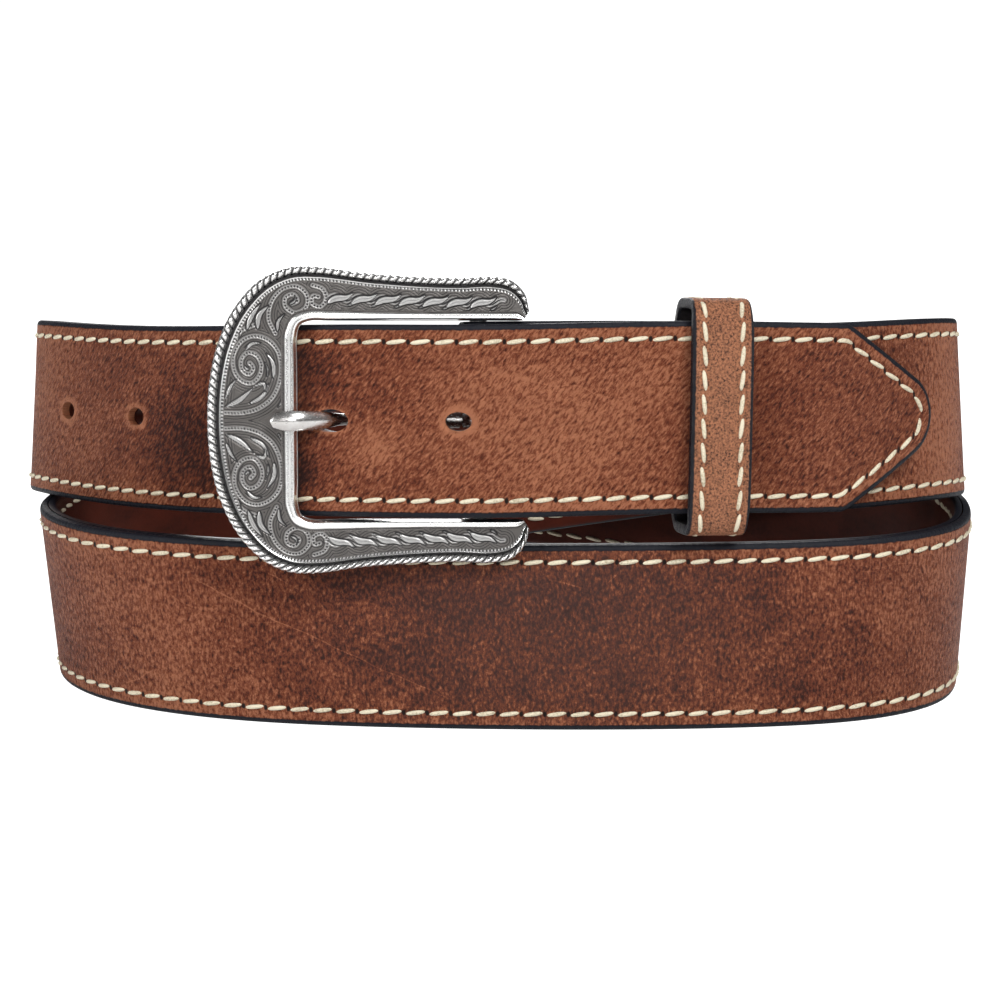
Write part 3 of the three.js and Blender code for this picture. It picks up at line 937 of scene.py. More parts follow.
@dataclass(frozen=True)
class PullUpLeather:
    """Waxed pull-up leather: brown with darker clouds, light worn edges and fine creased grain, plus painted
    light: shadow round the prong and buckle, shade in the pinholes and grain valleys, highlights on the
    grain's crests.
    """

    name: str = "Pull-up leather"
    dark: tuple[float, float, float] = (0.030, 0.0068, 0.0042)
    middle: tuple[float, float, float] = (0.168, 0.039, 0.0155)
    light: tuple[float, float, float] = (0.400, 0.150, 0.075)
    cool: tuple[float, float, float] = (0.088, 0.050, 0.043)
    # Colour of the pinholes between the stitches: painted shade inside the holes
    hole: tuple[float, float, float] = (0.010, 0.004, 0.003)
    paint: EdgePaint = EdgePaint()
    grain: tuple[float, float] = (1.4, 0.8)
    grain_slant: float = -0.62
    tail_start: tuple[float, float] = (700.0, 740.0)
    base_tone: float = 0.46
    relief: float = 1.35
    roughness: float = 0.5
    specular: float = 0.17

    def build(self) -> bpy.types.Material:
        """The material.

        Returns:
            The material, for a piece with the attributes edge and row.
        """
        material, graph, shader = new_material(self.name)
        where = belt_millimetres(graph)
        x, y = graph.split(where)
        edge = graph.attribute("edge")
        aslant = self.aslant(graph, x, y)
        grain = placed_group(graph, "Hide grain", aslant, Along=self.grain[0], Across=self.grain[1])
        scratches = placed_group(graph, "Scratches", where, Amount=0.6)["Mask"]
        tone = self.tone(graph, where, aslant, edge, grain["Height"])
        for scratch in LONG_SCRATCHES:
            tone = tone + self.long_scratch(graph, where, scratch) * 0.3
        tone = (tone + scratches * 0.3).clamped()
        colour = graph.mix(graph.step(tone, 0.02, 0.52), self.dark, self.middle)
        colour = graph.mix(graph.step(tone, 0.42, 1.0), colour, self.light)
        cooled = self.patch_mask(graph, x, y, 0.0, COOL_PATCH) * graph.step(tone, 0.75, 0.3)
        colour = graph.mix(cooled * COOL_PATCH.tone, colour, self.cool)
        stitch_line = graph.math("ABSOLUTE", edge - STITCH_INSET)
        pinhole = self.pinholes(graph, graph.attribute("row"), stitch_line)
        # The pinholes are darkened with painted shade
        colour = graph.mix(pinhole, colour, self.hole)
        painted = edge_paint_mask(graph, where, edge, self.paint.reach)
        graph.feed(shader.inputs["Base Color"], graph.mix(painted, colour, self.paint.colour))
        graph.feed(shader.inputs["Roughness"], grain["Crease"] * 0.14 + self.roughness)
        shader.inputs["Specular IOR Level"].default_value = self.specular
        groove = graph.step(stitch_line, 1.0, 0.2)
        height = grain["Height"] * self.relief - groove * 0.2 - pinhole * 0.3 - scratches * 0.04
        smooth_edge = 1.0 - painted * 0.88
        graph.feed(shader.inputs["Normal"], graph.bump(height * smooth_edge, 1.0, MM))
        return material

    def aslant(self, graph: Graph, x: Value, y: Value) -> Value:
        """Millimetres on the belt, sheared on the tail, where the grain runs aslant."""
        return graph.joined(x + y * self.grain_slant * graph.step(x, *self.tail_start), y)

    @staticmethod
    def long_scratch(graph: Graph, where: Value, scratch: tuple[float, ...]) -> Value:
        """Mask of one long fine scratch.

        Args:
            graph: The material's graph.
            where: Millimetres along and across the belt.
            scratch: Length and height of its start and of its end.

        Returns:
            The mask.
        """
        x0, y0, x1, y1 = scratch
        reach = math.hypot(x1 - x0, y1 - y0)
        turned = graph.add("ShaderNodeMapping", vector_type="TEXTURE")
        graph.feed(turned.inputs["Vector"], where)
        turned.inputs["Location"].default_value = (x0, y0, 0)
        turned.inputs["Rotation"].default_value = (0, 0, math.atan2(y1 - y0, x1 - x0))
        along, across = graph.split(turned.outputs["Vector"])
        wander = (graph.noise(turned.outputs["Vector"], 0.08, 2.0) - 0.5) * 2.0
        line = graph.step(graph.math("ABSOLUTE", across + wander), 0.2, 0.04)
        return line * graph.step(along, 0, 8) * graph.step(along, reach, reach - 8)

    def tone(self, graph: Graph, where: Value, aslant: Value, edge: Value, relief: Value) -> Value:
        """How light the leather is: clouds, mottling, patches (some of them painted shadow), worn holes, and
        grain, whose crests get a painted highlight and whose valleys get painted shade.

        Args:
            graph: The material's graph.
            where: Millimetres along and across the belt.
            aslant: The same, sheared as the grain is.
            edge: Distance to the belt's outline.
            relief: Height of the grain, which lightens the colour on its crests and darkens it in its
                valleys as painted highlight and shade.

        Returns:
            The tone, about 0 to 1.
        """
        clouds = graph.noise(graph.scale(where, (0.03, 0.045, 1)), 1.0, 3.0, 0.55, 0.4) - 0.5
        mottle = graph.noise(graph.scale(where, (0.16, 0.12, 1)), 1.0, 4.0, 0.6, 0.6) - 0.5
        speckle = graph.noise(graph.scale(aslant, (1.6, 0.8, 1)), 1.0, 4.0, 0.75) - 0.5
        tone = clouds * 0.6 + mottle * 0.5 + speckle * 2.3 + self.base_tone
        tone = tone + graph.step(edge, 6.5, 1.5) * 0.16
        x, y = graph.split(where)
        for patch in PATCHES:
            tone = tone + self.patch_mask(graph, x, y, mottle * 1.1, patch) * patch.tone
        # The grain's height is painted into the tone: painted highlight on its crests, painted shade in its
        # valleys
        return tone + self.worn_rims(graph, x, y) + (relief - 0.58) * 1.1

    @staticmethod
    def patch_mask(graph: Graph, x: Value, y: Value, ragged: object, patch: Patch) -> Value:
        """Soft mask of one patch.

        Args:
            graph: The material's graph.
            x: Length along the belt.
            y: Height across the belt.
            ragged: What makes its border uneven.
            patch: The patch.

        Returns:
            The mask.
        """
        far_x = (x - patch.length) / patch.half_length
        far_y = (y - patch.across) / patch.half_height
        return graph.step(graph.hypot(far_x, far_y) + ragged, 1.1, 0.1)

    @staticmethod
    def worn_rims(graph: Graph, x: Value, y: Value) -> Value:
        """Lighter worn rims round the holes.

        Args:
            graph: The material's graph.
            x: Length along the belt.
            y: Height across the belt.

        Returns:
            What the wear adds to the tone.
        """
        first = FOLD_TO_TIP - TIP_TO_FIRST_HOLE
        last = first - HOLE_PITCH * (HOLE_COUNT - 1)
        offset = graph.math("FRACT", (x - (last - HOLE_PITCH / 2)) / HOLE_PITCH)
        around = graph.hypot((offset - 0.5) * HOLE_PITCH, y * 1.25)
        in_row = graph.step(x, last - 9, last - 8) * graph.step(x, first + 9, first + 8)
        return graph.step(around, 4.6, 3.0) * 0.4 * in_row

    @staticmethod
    def pinholes(graph: Graph, row: Value, stitch_line: Value) -> Value:
        """Mask of the small pinholes between the stitches, where the colour is darkened as painted shade in
        the holes.

        Args:
            graph: The material's graph.
            row: Length along the stitch row.
            stitch_line: Distance from the stitch row.

        Returns:
            The mask.
        """
        phase = graph.math("FRACT", row / STITCH_PITCH)
        nearest = graph.math("MINIMUM", phase, 1.0 - phase)
        return graph.step(graph.hypot(nearest * (STITCH_PITCH * 1.25), stitch_line * 0.85), 0.66, 0.34)


@dataclass(frozen=True)
class LiningLeather:
    """Smooth reddish-brown lining with a soft shine, its colours darkened past the leather's own as painted
    shade for the deep inside of the coil.
    """

    name: str = "Lining leather"
    # Both colours are partly the lining's reddish brown and partly painted shade, darkened for the inside of
    # the coil
    dark: tuple[float, float, float] = (0.010, 0.0022, 0.0015)
    light: tuple[float, float, float] = (0.056, 0.0095, 0.0042)
    paint: EdgePaint = EdgePaint(reach=0.5)
    roughness: float = 0.42
    specular: float = 0.2

    def build(self) -> bpy.types.Material:
        """The material.

        Returns:
            The material, for a piece with the attribute edge.
        """
        material, graph, shader = new_material(self.name)
        where = belt_millimetres(graph)
        grain = placed_group(graph, "Hide grain", where, Along=1.6, Across=1.2)["Height"]
        mottle = graph.noise(graph.scale(where, (0.05, 0.09, 1)), 1.0, 4.0, 0.6)
        tone = (mottle + grain * 0.25).clamped()
        colour = graph.mix(graph.step(tone, 0.3, 0.85), self.dark, self.light)
        painted = edge_paint_mask(graph, where, graph.attribute("edge"), self.paint.reach)
        graph.feed(shader.inputs["Base Color"], graph.mix(painted, colour, self.paint.colour))
        shader.inputs["Roughness"].default_value = self.roughness
        shader.inputs["Specular IOR Level"].default_value = self.specular
        graph.feed(shader.inputs["Normal"], graph.bump(grain, 0.5, 0.06 * MM))
        return material


@dataclass(frozen=True)
class KeeperLeather:
    """Lighter tan leather of the keeper, with pores, painted edges, and its inner face painted near-black as
    the shade inside the loop.
    """

    name: str = "Keeper leather"
    dark: tuple[float, float, float] = (0.030, 0.009, 0.005)
    light: tuple[float, float, float] = (0.34, 0.138, 0.068)
    # Near-black colour of the loop's inner face: painted shade inside the keeper
    inner: tuple[float, float, float] = (0.010, 0.006, 0.007)
    paint: EdgePaint = EdgePaint(reach=0.75)
    roughness: float = 0.62
    painted_roughness: float = 0.36
    specular: float = 0.25

    def build(self) -> bpy.types.Material:
        """The material.

        Returns:
            The material, for a piece with the attributes edge and inside.
        """
        material, graph, shader = new_material(self.name)
        where = belt_millimetres(graph)
        grain = placed_group(graph, "Hide grain", where, Along=1.1, Across=1.5)["Height"]
        mottle = graph.noise(graph.scale(where, (0.12, 0.2, 1)), 1.0, 4.0, 0.65)
        patchy = graph.step(graph.noise(where, 0.35, 2.0), 0.42, 0.6)
        pores = graph.step(graph.voronoi(where, 1.35), 0.3, 0.12) * patchy
        fine = (graph.noise(where, 2.0, 3.0, 0.7) - 0.5) * 2.4
        tone = (mottle * 0.5 + grain * 0.6 + fine - pores * 0.5).clamped()
        inside = graph.attribute("inside")
        colour = graph.mix(graph.step(tone, 0.05, 1.0), self.dark, self.light)
        # The inner face takes the painted shade colour
        colour = graph.mix(inside, colour, self.inner)
        painted = edge_paint_mask(graph, where, graph.attribute("edge"), self.paint.reach)
        graph.feed(shader.inputs["Base Color"], graph.mix(painted, colour, self.paint.colour))
        smoothed = painted * (self.roughness - self.painted_roughness)
        graph.feed(shader.inputs["Roughness"], self.roughness - smoothed)
        shader.inputs["Specular IOR Level"].default_value = self.specular
        fluff = graph.noise(where, 2.2, 3.0, 0.7) * inside * 0.8
        graph.feed(shader.inputs["Normal"], graph.bump(grain * 0.6 - pores * 0.2 + fluff, 0.9, MM))
        return material


@dataclass(frozen=True)
class CreamThread:
    """Waxed cream thread."""

    name: str = "Cream thread"
    colour: tuple[float, float, float] = (0.52, 0.465, 0.345)
    shade: tuple[float, float, float] = (0.27, 0.22, 0.145)
    roughness: float = 0.6

    def build(self) -> bpy.types.Material:
        """The material.

        Returns:
            The material, for any piece.
        """
        material, graph, shader = new_material(self.name)
        place = graph.add("ShaderNodeTexCoord").outputs["Object"]
        fibre = graph.noise(place, 2600.0, 3.0, 0.6)
        dirt = graph.noise(place, 160.0, 2.0)
        colour = graph.mix(graph.step(fibre + dirt * 0.5, 0.85, 0.45), self.colour, self.shade)
        graph.feed(shader.inputs["Base Color"], colour)
        shader.inputs["Roughness"].default_value = self.roughness
        graph.feed(shader.inputs["Normal"], graph.bump(fibre, 0.6, 0.12 * MM))
        return material


@dataclass(frozen=True)
class AntiqueSilver:
    """Cast silver with blackened recesses and bright worn high places."""

    name: str = "Antique silver"
    bright: tuple[float, float, float] = (0.86, 0.855, 0.845)
    field: tuple[float, float, float] = (0.135, 0.127, 0.121)
    stained: tuple[float, float, float] = (0.062, 0.053, 0.048)
    black: tuple[float, float, float] = (0.012, 0.011, 0.012)
    plain: tuple[float, float, float] = (0.66, 0.655, 0.645)
    plain_stained: tuple[float, float, float] = (0.46, 0.44, 0.425)
    hatch_pitch: float = 0.52

    def build(self, engraved: bool) -> bpy.types.Material:
        """The material.

        Args:
            engraved: Whether the piece has the engraving's attributes.

        Returns:
            The material.
        """
        material, graph, shader = new_material(self.name if engraved else self.name + ", plain")
        place = graph.add("ShaderNodeTexCoord").outputs["Object"]
        stain = graph.noise(place, 90.0, 4.0, 0.6)
        scuff = graph.noise(graph.scale(place, (1, 1, 3)), 900.0, 3.0, 0.6)
        if engraved:
            polish = graph.attribute("polish")
            phase = graph.math("SINE", graph.attribute("hatch") * (2 * math.pi / self.hatch_pitch))
            lines = graph.step(phase, 0.1, 0.95) * graph.attribute("hatched")
            recess = graph.math("MAXIMUM", graph.attribute("recess"), lines * 0.9)
            worn = graph.mix(stain * 0.5, self.field, self.stained)
            colour = graph.mix(recess, graph.mix(polish, worn, self.bright), self.black)
            rough = 0.36 - polish * 0.12 + recess * 0.35
            graph.feed(shader.inputs["Metallic"], 1.0 - recess * 0.6)
            height = scuff * 0.02 - lines * 0.06
        else:
            colour = graph.mix(graph.step(stain, 0.45, 0.7), self.plain, self.plain_stained)
            rough = scuff * 0.12 + 0.2
            shader.inputs["Metallic"].default_value = 1.0
            height = scuff * 0.02
        graph.feed(shader.inputs["Base Color"], colour)
        graph.feed(shader.inputs["Roughness"], rough)
        graph.feed(shader.inputs["Normal"], graph.bump(height, 0.7, MM))
        return material


# Leather layers


@dataclass
class LeatherLayer:
    """One leather layer of the strap, cut flat from a grid, punched, and wrapped on the route."""

    route: Route
    name: str
    outer: bool
    edge_reach: float = 1.2
    edge_drop: float = 0.75
    columns: int = 26
    row_step: float = 2.4
    narrow: float = 3.5
    extrusion: float = 20.0
    edge_insets: tuple[float, ...] = (0.0, 0.06, 0.2, 0.42, 0.7, 1.05, 1.5)
    tip_rows: tuple[float, ...] = (0.8, 0.55, 0.35, 0.2, 0.1, 0.03)

    def sections(self) -> tuple[np.ndarray, ...]:
        """Rows of the layer: running length, along, out, and the way its grain side faces.

        Returns:
            Arrays of running length, along, out, facing along and facing out.
        """
        from_tip = [np.arange(26.0, 5.0, -1.0), np.arange(5.0, 1.0, -0.4), self.tip_rows]
        tip = FOLD_TO_TIP - np.concatenate(from_tip)
        if not self.outer:
            start = FLAP_LENGTH + FLAP_TO_LINING
            front = np.concatenate([np.arange(start, tip[0] - 1.0, self.row_step), tip])
            ones = np.ones_like(front)
            return front, front, -LAYER_MIDDLE * ones, 0 * ones, -ones
        radius = BAR["radius"] + BAR_CLEARANCE + LAYER_THICKNESS / 2
        bar_out = ROUTE[0][1] - (BUCKLE_SEAT[0] + BAR["depth"])
        parting = np.linspace(0.6, PARTING_LENGTH, 12)
        flap = np.concatenate([np.arange(FLAP_LENGTH, PARTING_LENGTH, -3.0), parting[::-1]])
        parted = smoothstep(0.0, 1.0, 1 - flap / PARTING_LENGTH)
        flap_out = -LAYER_MIDDLE + (bar_out - radius + LAYER_MIDDLE) * parted
        angle = np.pi * np.linspace(1.5, 0.5, 17)
        front = np.concatenate([parting, np.arange(18.0, tip[0] - 1.0, self.row_step), tip])
        parted = smoothstep(0.0, 1.0, 1 - front / PARTING_LENGTH)
        front_out = LAYER_MIDDLE + (bar_out + radius - LAYER_MIDDLE) * parted
        along = np.concatenate([flap, radius * np.cos(angle), front])
        out = np.concatenate([flap_out, bar_out + radius * np.sin(angle), front_out])
        facing_along = np.concatenate([0 * flap, np.cos(angle), 0 * front])
        facing_out = np.concatenate([-np.ones_like(flap), np.sin(angle), np.ones_like(front)])
        running = running_length(np.column_stack([along, out]))
        running += tip[-1] - running[-1]
        return running, along, out, facing_along, facing_out

    def blank(self, running: np.ndarray) -> bpy.types.Object:
        """The flat blank, its grain side rounded to the edges, in millimetres.

        Args:
            running: Running length of each row.

        Returns:
            The blank, closed.
        """
        clear_selection()
        count = len(running)
        bpy.ops.mesh.primitive_grid_add(x_subdivisions=count - 1, y_subdivisions=self.columns - 1, size=2.0)
        piece = taken(self.name)
        flat = points_of(piece)
        row = np.rint((flat[:, 0] + 1) / 2 * (count - 1)).astype(int)
        column = np.rint((flat[:, 1] + 1) / 2 * (self.columns - 1)).astype(int)
        insets = np.array(self.edge_insets)
        half = TipShape.half_width(FOLD_TO_TIP - running[row])
        scale = np.minimum(1.0, half / self.narrow)
        side = np.where(column * 2 < self.columns, -1.0, 1.0)
        from_edge = np.minimum(column, self.columns - 1 - column)
        near = from_edge < len(insets)
        last = insets[-1] * scale
        inner = self.columns / 2 - len(insets)
        part = (from_edge - len(insets) + 1) / (inner + 0.5)
        near_edge = insets[np.minimum(from_edge, len(insets) - 1)] * scale
        inset = np.where(near, near_edge, last + (half - last) * part)
        flat[:, 0] = running[row]
        flat[:, 1] = side * (half - inset)
        edge = np.maximum(TipShape.edge_distance(flat[:, 0], flat[:, 1]), 0.0)
        round_off = 1 - np.sqrt(1 - np.clip(1 - edge / self.edge_reach, 0, 1) ** 2)
        flat[:, 2] = LAYER_THICKNESS / 2 - self.edge_drop * round_off
        set_points(piece, flat)
        with all_selected(piece):
            bpy.ops.mesh.extrude_region_move(TRANSFORM_OT_translate={"value": (0, 0, -self.extrusion)})
        points = points_of(piece)
        points[points[:, 2] < -self.extrusion / 2, 2] = -LAYER_THICKNESS / 2
        set_points(piece, points)
        recalculate_normals(piece)
        return piece

    @staticmethod
    def punch(piece: bpy.types.Object, x: float, size: tuple[float, float], slot: bool = False) -> None:
        """Punches an oval hole, or a slot with round ends.

        Args:
            piece: The flat blank.
            x: Running length of the hole's middle.
            size: Length and height of the hole.
            slot: Whether it is a long slot.
        """
        clear_selection()
        bpy.ops.mesh.primitive_cylinder_add(vertices=40, radius=1.0, depth=8.0, location=(x, 0, 0))
        tool = bpy.context.object
        points = points_of(tool)
        power = 0.35 if slot else 1.0
        flat = points[:, :2]
        points[:, :2] = np.sign(flat) * np.abs(flat) ** power * size / 2
        set_points(tool, points)
        apply_modifier(piece, "BOOLEAN", operation="DIFFERENCE", object=tool, solver="EXACT")
        bpy.data.objects.remove(tool)

    def build(self) -> bpy.types.Object:
        """The layer, wrapped on the route.

        Returns:
            The finished piece, in the row's frame.
        """
        running, along, out, facing_along, facing_out = self.sections()
        piece = self.blank(running)
        for i in range(HOLE_COUNT):
            size = USED_HOLE_SIZE if i == USED_HOLE else HOLE_SIZE
            self.punch(piece, FOLD_TO_TIP - TIP_TO_FIRST_HOLE - i * HOLE_PITCH, size)
        if self.outer:
            fold_middle = float(running[int(np.argmin(along))])
            self.punch(piece, fold_middle, PRONG_SLOT_SIZE, slot=True)
        flat = points_of(piece)
        edge = TipShape.edge_distance(flat[:, 0], flat[:, 1])
        set_attribute(piece, "edge", np.maximum(edge, 0.0))
        set_attribute(piece, "row", TipShape.row_length(flat[:, 0]))
        set_uv(piece, flat[:, :2] * UV_PER_MM)
        level = flat[:, 2]
        rows = (along, out, facing_along, facing_out)
        length, away, turned, faced = (np.interp(flat[:, 0], running, values) for values in rows)
        set_points(piece, self.route.place(length + turned * level, flat[:, 1], away + faced * level))
        recalculate_normals(piece)
        smooth(piece, 38)
        return piece


# Thread


def stitch_piece(name: str, rows: list[tuple[np.ndarray, list]]) -> bpy.types.Object:
    """Rows of stitches as one piece.

    Args:
        name: Its name.
        rows: Points and faces of each row.

    Returns:
        The finished piece.
    """
    faces = []
    base = 0
    for points, made in rows:
        faces += [tuple(v + base for v in face) for face in made]
        base += len(points)
    piece = mesh_piece(name, np.concatenate([points for points, _ in rows]), faces)
    recalculate_normals(piece)
    smooth(piece, 60)
    return piece


@dataclass
class StitchRows:
    """Rows of slanted stitches, one stitch modelled and repeated."""

    route: Route
    length: float = 4.3
    width: float = 0.94
    height: float = 0.45
    dip: float = 0.34
    slant: float = 0.13
    heading_reach: float = 0.2

    def pattern(self, slant: float) -> tuple[np.ndarray, list[tuple[int, ...]]]:
        """One stitch: a plump bar with blunt ends that dip into the leather.

        Args:
            slant: How steeply it slants across the row.

        Returns:
            Its points, along, across and up in millimetres, and its faces.
        """
        clear_selection()
        bpy.ops.mesh.primitive_uv_sphere_add(segments=8, ring_count=7, radius=1.0)
        sphere = bpy.context.object
        unit = points_of(sphere)[:, [2, 0, 1]]
        faces = [tuple(face.vertices) for face in sphere.data.polygons]
        bpy.data.objects.remove(sphere)
        fat = np.maximum(1e-6, 1 - np.abs(unit[:, 0]) ** 2.6)[:, None] ** 0.5
        around = unit[:, 1:] / np.maximum(row_hypot(unit[:, 1:]), 1e-6)
        points = np.empty_like(unit)
        points[:, 0] = np.sign(unit[:, 0]) * np.abs(unit[:, 0]) ** 0.85 * self.length / 2
        points[:, 1:] = around * fat * (np.abs(unit[:, 0:1]) < 0.999)
        points[:, 1] = points[:, 1] * self.width / 2 + points[:, 0] * slant
        points[:, 2] = points[:, 2] * self.height - self.dip * (points[:, 0] / self.length * 2) ** 4
        return points, faces

    def along_path(self, path: np.ndarray, slant: float) -> tuple[np.ndarray, np.ndarray, list]:
        """Stitches laid along a flat path.

        Args:
            path: Rows of flat coordinates.
            slant: How steeply each slants across the row.

        Returns:
            Flat points, heights and faces of all the stitches.
        """
        pattern, faces = self.pattern(slant)
        running = running_length(path)
        middles = np.arange(0.5, running[-1] / STITCH_PITCH - 0.25) * STITCH_PITCH
        at = (middles[:, None] + pattern[None, :, 0]).ravel()
        at = np.clip(at, 0.0, running[-1])
        side = np.tile(pattern[:, 1], len(middles))
        point = along_polyline(running, path, at)
        ahead = along_polyline(running, path, at + self.heading_reach)
        behind = along_polyline(running, path, at - self.heading_reach)
        heading = (ahead - behind) / np.maximum(row_hypot(ahead - behind), 1e-9)
        flat = point + np.stack([-heading[:, 1], heading[:, 0]], axis=1) * side[:, None]
        every = [tuple(v + i * len(pattern) for v in face) for i in range(len(middles)) for face in faces]
        return flat, np.tile(pattern[:, 2], len(middles)), every

    def strap_rows(self, name: str, start: float, out: float, step: float) -> bpy.types.Object:
        """Both rows of one face of the strap.

        Args:
            name: The piece's name.
            start: Length along the belt where the rows start.
            out: Distance of that face from the belt's middle, negative inside the coil.
            step: 1 for the face out of the coil and -1 for the one into it.

        Returns:
            The finished piece.
        """
        made = []
        for mirror in (1.0, -1.0):
            path = TipShape.stitch_path(start)
            flat, height, faces = self.along_path(path, self.slant * mirror)
            points = self.route.place(flat[:, 0], flat[:, 1] * mirror, out + step * height)
            made.append((points, faces))
        return stitch_piece(name, made)


# The keeper


@dataclass
class Keeper:
    """The stitched loop round the tail and the strap under it."""

    route: Route
    from_tip: float = 50.5
    width: float = 12.7
    wall: float = 2.2
    half_height: float = 22.5
    half_depth: float = 6.5
    squareness: float = 5.0
    behind_tail: float = 2.5
    stitch_offset: float = 3.85
    waist: float = 0.05
    crown: float = 0.25
    edge_rounding: float = 0.55
    stitch_lift: float = 0.22
    hidden_height: float = 0.4
    front_depth: float = 1.2
    tangent_reach: float = 0.3
    around: int = 160
    columns: int = 18

    def outline(self, angle: np.ndarray, grow: float) -> np.ndarray:
        """The loop's outline.

        Args:
            angle: Angles round the loop.
            grow: How far outside the loop's middle.

        Returns:
            Points across the belt and out of it.
        """
        unit = np.column_stack([np.cos(angle), np.sin(angle)])
        rounded = np.sign(unit) * np.abs(unit) ** (2 / self.squareness)
        return rounded * (self.half_height + grow, self.half_depth + grow)

    def measured(self, count: int, grow: float) -> tuple[np.ndarray, np.ndarray]:
        """The outline at even steps of length.

        Args:
            count: How many steps.
            grow: How far outside the loop's middle.

        Returns:
            The points and their running length, the first at the loop's back.
        """
        dense = self.outline(np.linspace(-np.pi / 2, 1.5 * np.pi, 4001), grow)
        running = running_length(dense)
        at = np.linspace(0.0, running[-1], count + 1)
        return along_polyline(running, dense, at), at

    def to_row(self, local: np.ndarray) -> np.ndarray:
        """Puts the loop on the belt.

        Args:
            local: Points across the belt, out of it and along it.

        Returns:
            The points in the row's frame, in metres.
        """
        centre = np.array([FOLD_TO_TIP - self.from_tip])
        point, along, across, outward = (rows[0] for rows in self.route.frames(centre))
        middle = point - outward * self.behind_tail
        return (middle + local @ np.array([across, outward, along])) * MM

    def build(self) -> bpy.types.Object:
        """The loop.

        Returns:
            The finished piece.
        """
        clear_selection()
        bpy.ops.mesh.primitive_grid_add(x_subdivisions=self.around, y_subdivisions=self.columns, size=2.0)
        piece = taken("keeper_loop")
        grid = points_of(piece)
        row = np.rint((grid[:, 0] + 1) / 2 * self.around).astype(int)
        outline, running = self.measured(self.around, self.wall / 2)
        to_end = np.abs(outline[row, 0]) / (self.half_height + self.wall / 2)
        half_width = self.width / 2 * (1 - self.waist * smoothstep(0.7, 1.0, to_end))
        local = np.column_stack([outline[row], grid[:, 1] * half_width])
        local[:, 1] += np.where(local[:, 1] > 0, self.crown * (1 - grid[:, 1] ** 2), 0)
        set_uv(piece, np.column_stack([running[row], local[:, 2]]) * UV_PER_MM)
        set_points(piece, local)
        recalculate_normals(piece)
        apply_modifier(piece, "SOLIDIFY", thickness=self.wall, offset=-1.0, use_even_offset=True)
        corner = math.radians(50)
        apply_modifier(
            piece, "BEVEL", width=self.edge_rounding, segments=3, limit_method="ANGLE", angle_limit=corner
        )
        local = points_of(piece)
        grow = self.loop_growth(local)
        set_attribute(piece, "edge", self.width / 2 - np.abs(local[:, 2]))
        set_attribute(piece, "row", local[:, 0])
        # inside marks the loop's inner face, which the keeper's finish paints as shade
        set_attribute(piece, "inside", smoothstep(-0.2, -0.9, grow))
        set_points(piece, self.to_row(local))
        recalculate_normals(piece)
        smooth(piece, 45)
        return piece

    def loop_growth(self, local: np.ndarray) -> np.ndarray:
        """How far points lie outside the middle of the loop's wall.

        Args:
            local: Points across the belt, out of it and along it.

        Returns:
            The distances, negative inside.
        """
        dense, _ = self.measured(900, 0.0)
        offset = local[:, None, :2] - dense[None, :, :]
        nearest = np.argmin((offset**2).sum(axis=2), axis=1)
        tangent = np.roll(dense[:-1], -1, axis=0) - np.roll(dense[:-1], 1, axis=0)
        tangent = np.vstack([tangent, tangent[:1]])
        normal = np.column_stack([tangent[:, 1], -tangent[:, 0]]) / row_hypot(tangent)
        return (offset[np.arange(len(local)), nearest] * normal[nearest]).sum(axis=1)

    def stitches(self, rows: StitchRows) -> bpy.types.Object:
        """Two rows of stitches round the loop.

        Args:
            rows: What lays the stitches.

        Returns:
            The finished piece.
        """
        outline, running = self.measured(600, self.wall / 2)
        made = []
        for side in (-1.0, 1.0):
            path = np.column_stack([running, np.full_like(running, side * self.stitch_offset)])
            flat, height, faces = rows.along_path(path, -rows.slant * side)
            here = along_polyline(running, outline, flat[:, 0])
            ahead = along_polyline(running, outline, (flat[:, 0] + self.tangent_reach) % running[-1])
            tangent = (ahead - here) / row_hypot(ahead - here)
            normal = np.column_stack([tangent[:, 1], -tangent[:, 0]])
            on_front = here[:, 1] > self.half_depth - self.front_depth
            lift = np.where(on_front, height + self.stitch_lift, self.hidden_height * height)
            points = self.to_row(np.column_stack([here + normal * lift[:, None], flat[:, 1]]))
            made.append((points, faces))
        return stitch_piece("keeper_stitches", made)


# The buckle


def buckle_to_row(local: np.ndarray) -> np.ndarray:
    """Puts the buckle at its seat.

    Args:
        local: Points to the right, into the coil and up, in the buckle's own frame.

    Returns:
        The points in the row's frame, in metres.
    """
    seat_y, seat_z, lean = BUCKLE_SEAT
    turn = math.radians(lean)
    y = local[:, 1] * math.cos(turn) - local[:, 2] * math.sin(turn)
    z = local[:, 1] * math.sin(turn) + local[:, 2] * math.cos(turn)
    return np.column_stack([local[:, 0] - COIL_CENTRE[0], y + seat_y - COIL_CENTRE[1], z + seat_z]) * MM


def smooth_curve(points: np.ndarray, at: np.ndarray) -> np.ndarray:
    """Centripetal curve through points.

    Args:
        points: Rows that the curve goes through.
        at: Places on it, in rows.

    Returns:
        Points of the curve.
    """
    padded = np.vstack([2 * points[0] - points[1], points, 2 * points[-1] - points[-2]])
    i = np.clip(np.floor(at).astype(int), 0, len(points) - 2)
    t = (at - i)[:, None]
    p0, p1, p2, p3 = (padded[i + k] for k in range(4))
    d0, d1, d2 = (np.maximum(row_hypot(b - a), 1e-6) ** 0.5 for a, b in ((p0, p1), (p1, p2), (p2, p3)))
    m1 = ((p1 - p0) / d0 - (p2 - p0) / (d0 + d1) + (p2 - p1) / d1) * d1
    m2 = ((p2 - p1) / d1 - (p3 - p1) / (d1 + d2) + (p3 - p2) / d2) * d1
    ends = (2 * t**3 - 3 * t**2 + 1) * p1 + (3 * t**2 - 2 * t**3) * p2
    return ends + (t**3 - 2 * t**2 + t) * m1 + (t**3 - t**2) * m2


def through(rows: tuple[tuple[float, float], ...], count: int) -> np.ndarray:
    """A number of points on the smooth curve through a few."""
    return smooth_curve(np.array(rows), np.linspace(0, len(rows) - 1, count))


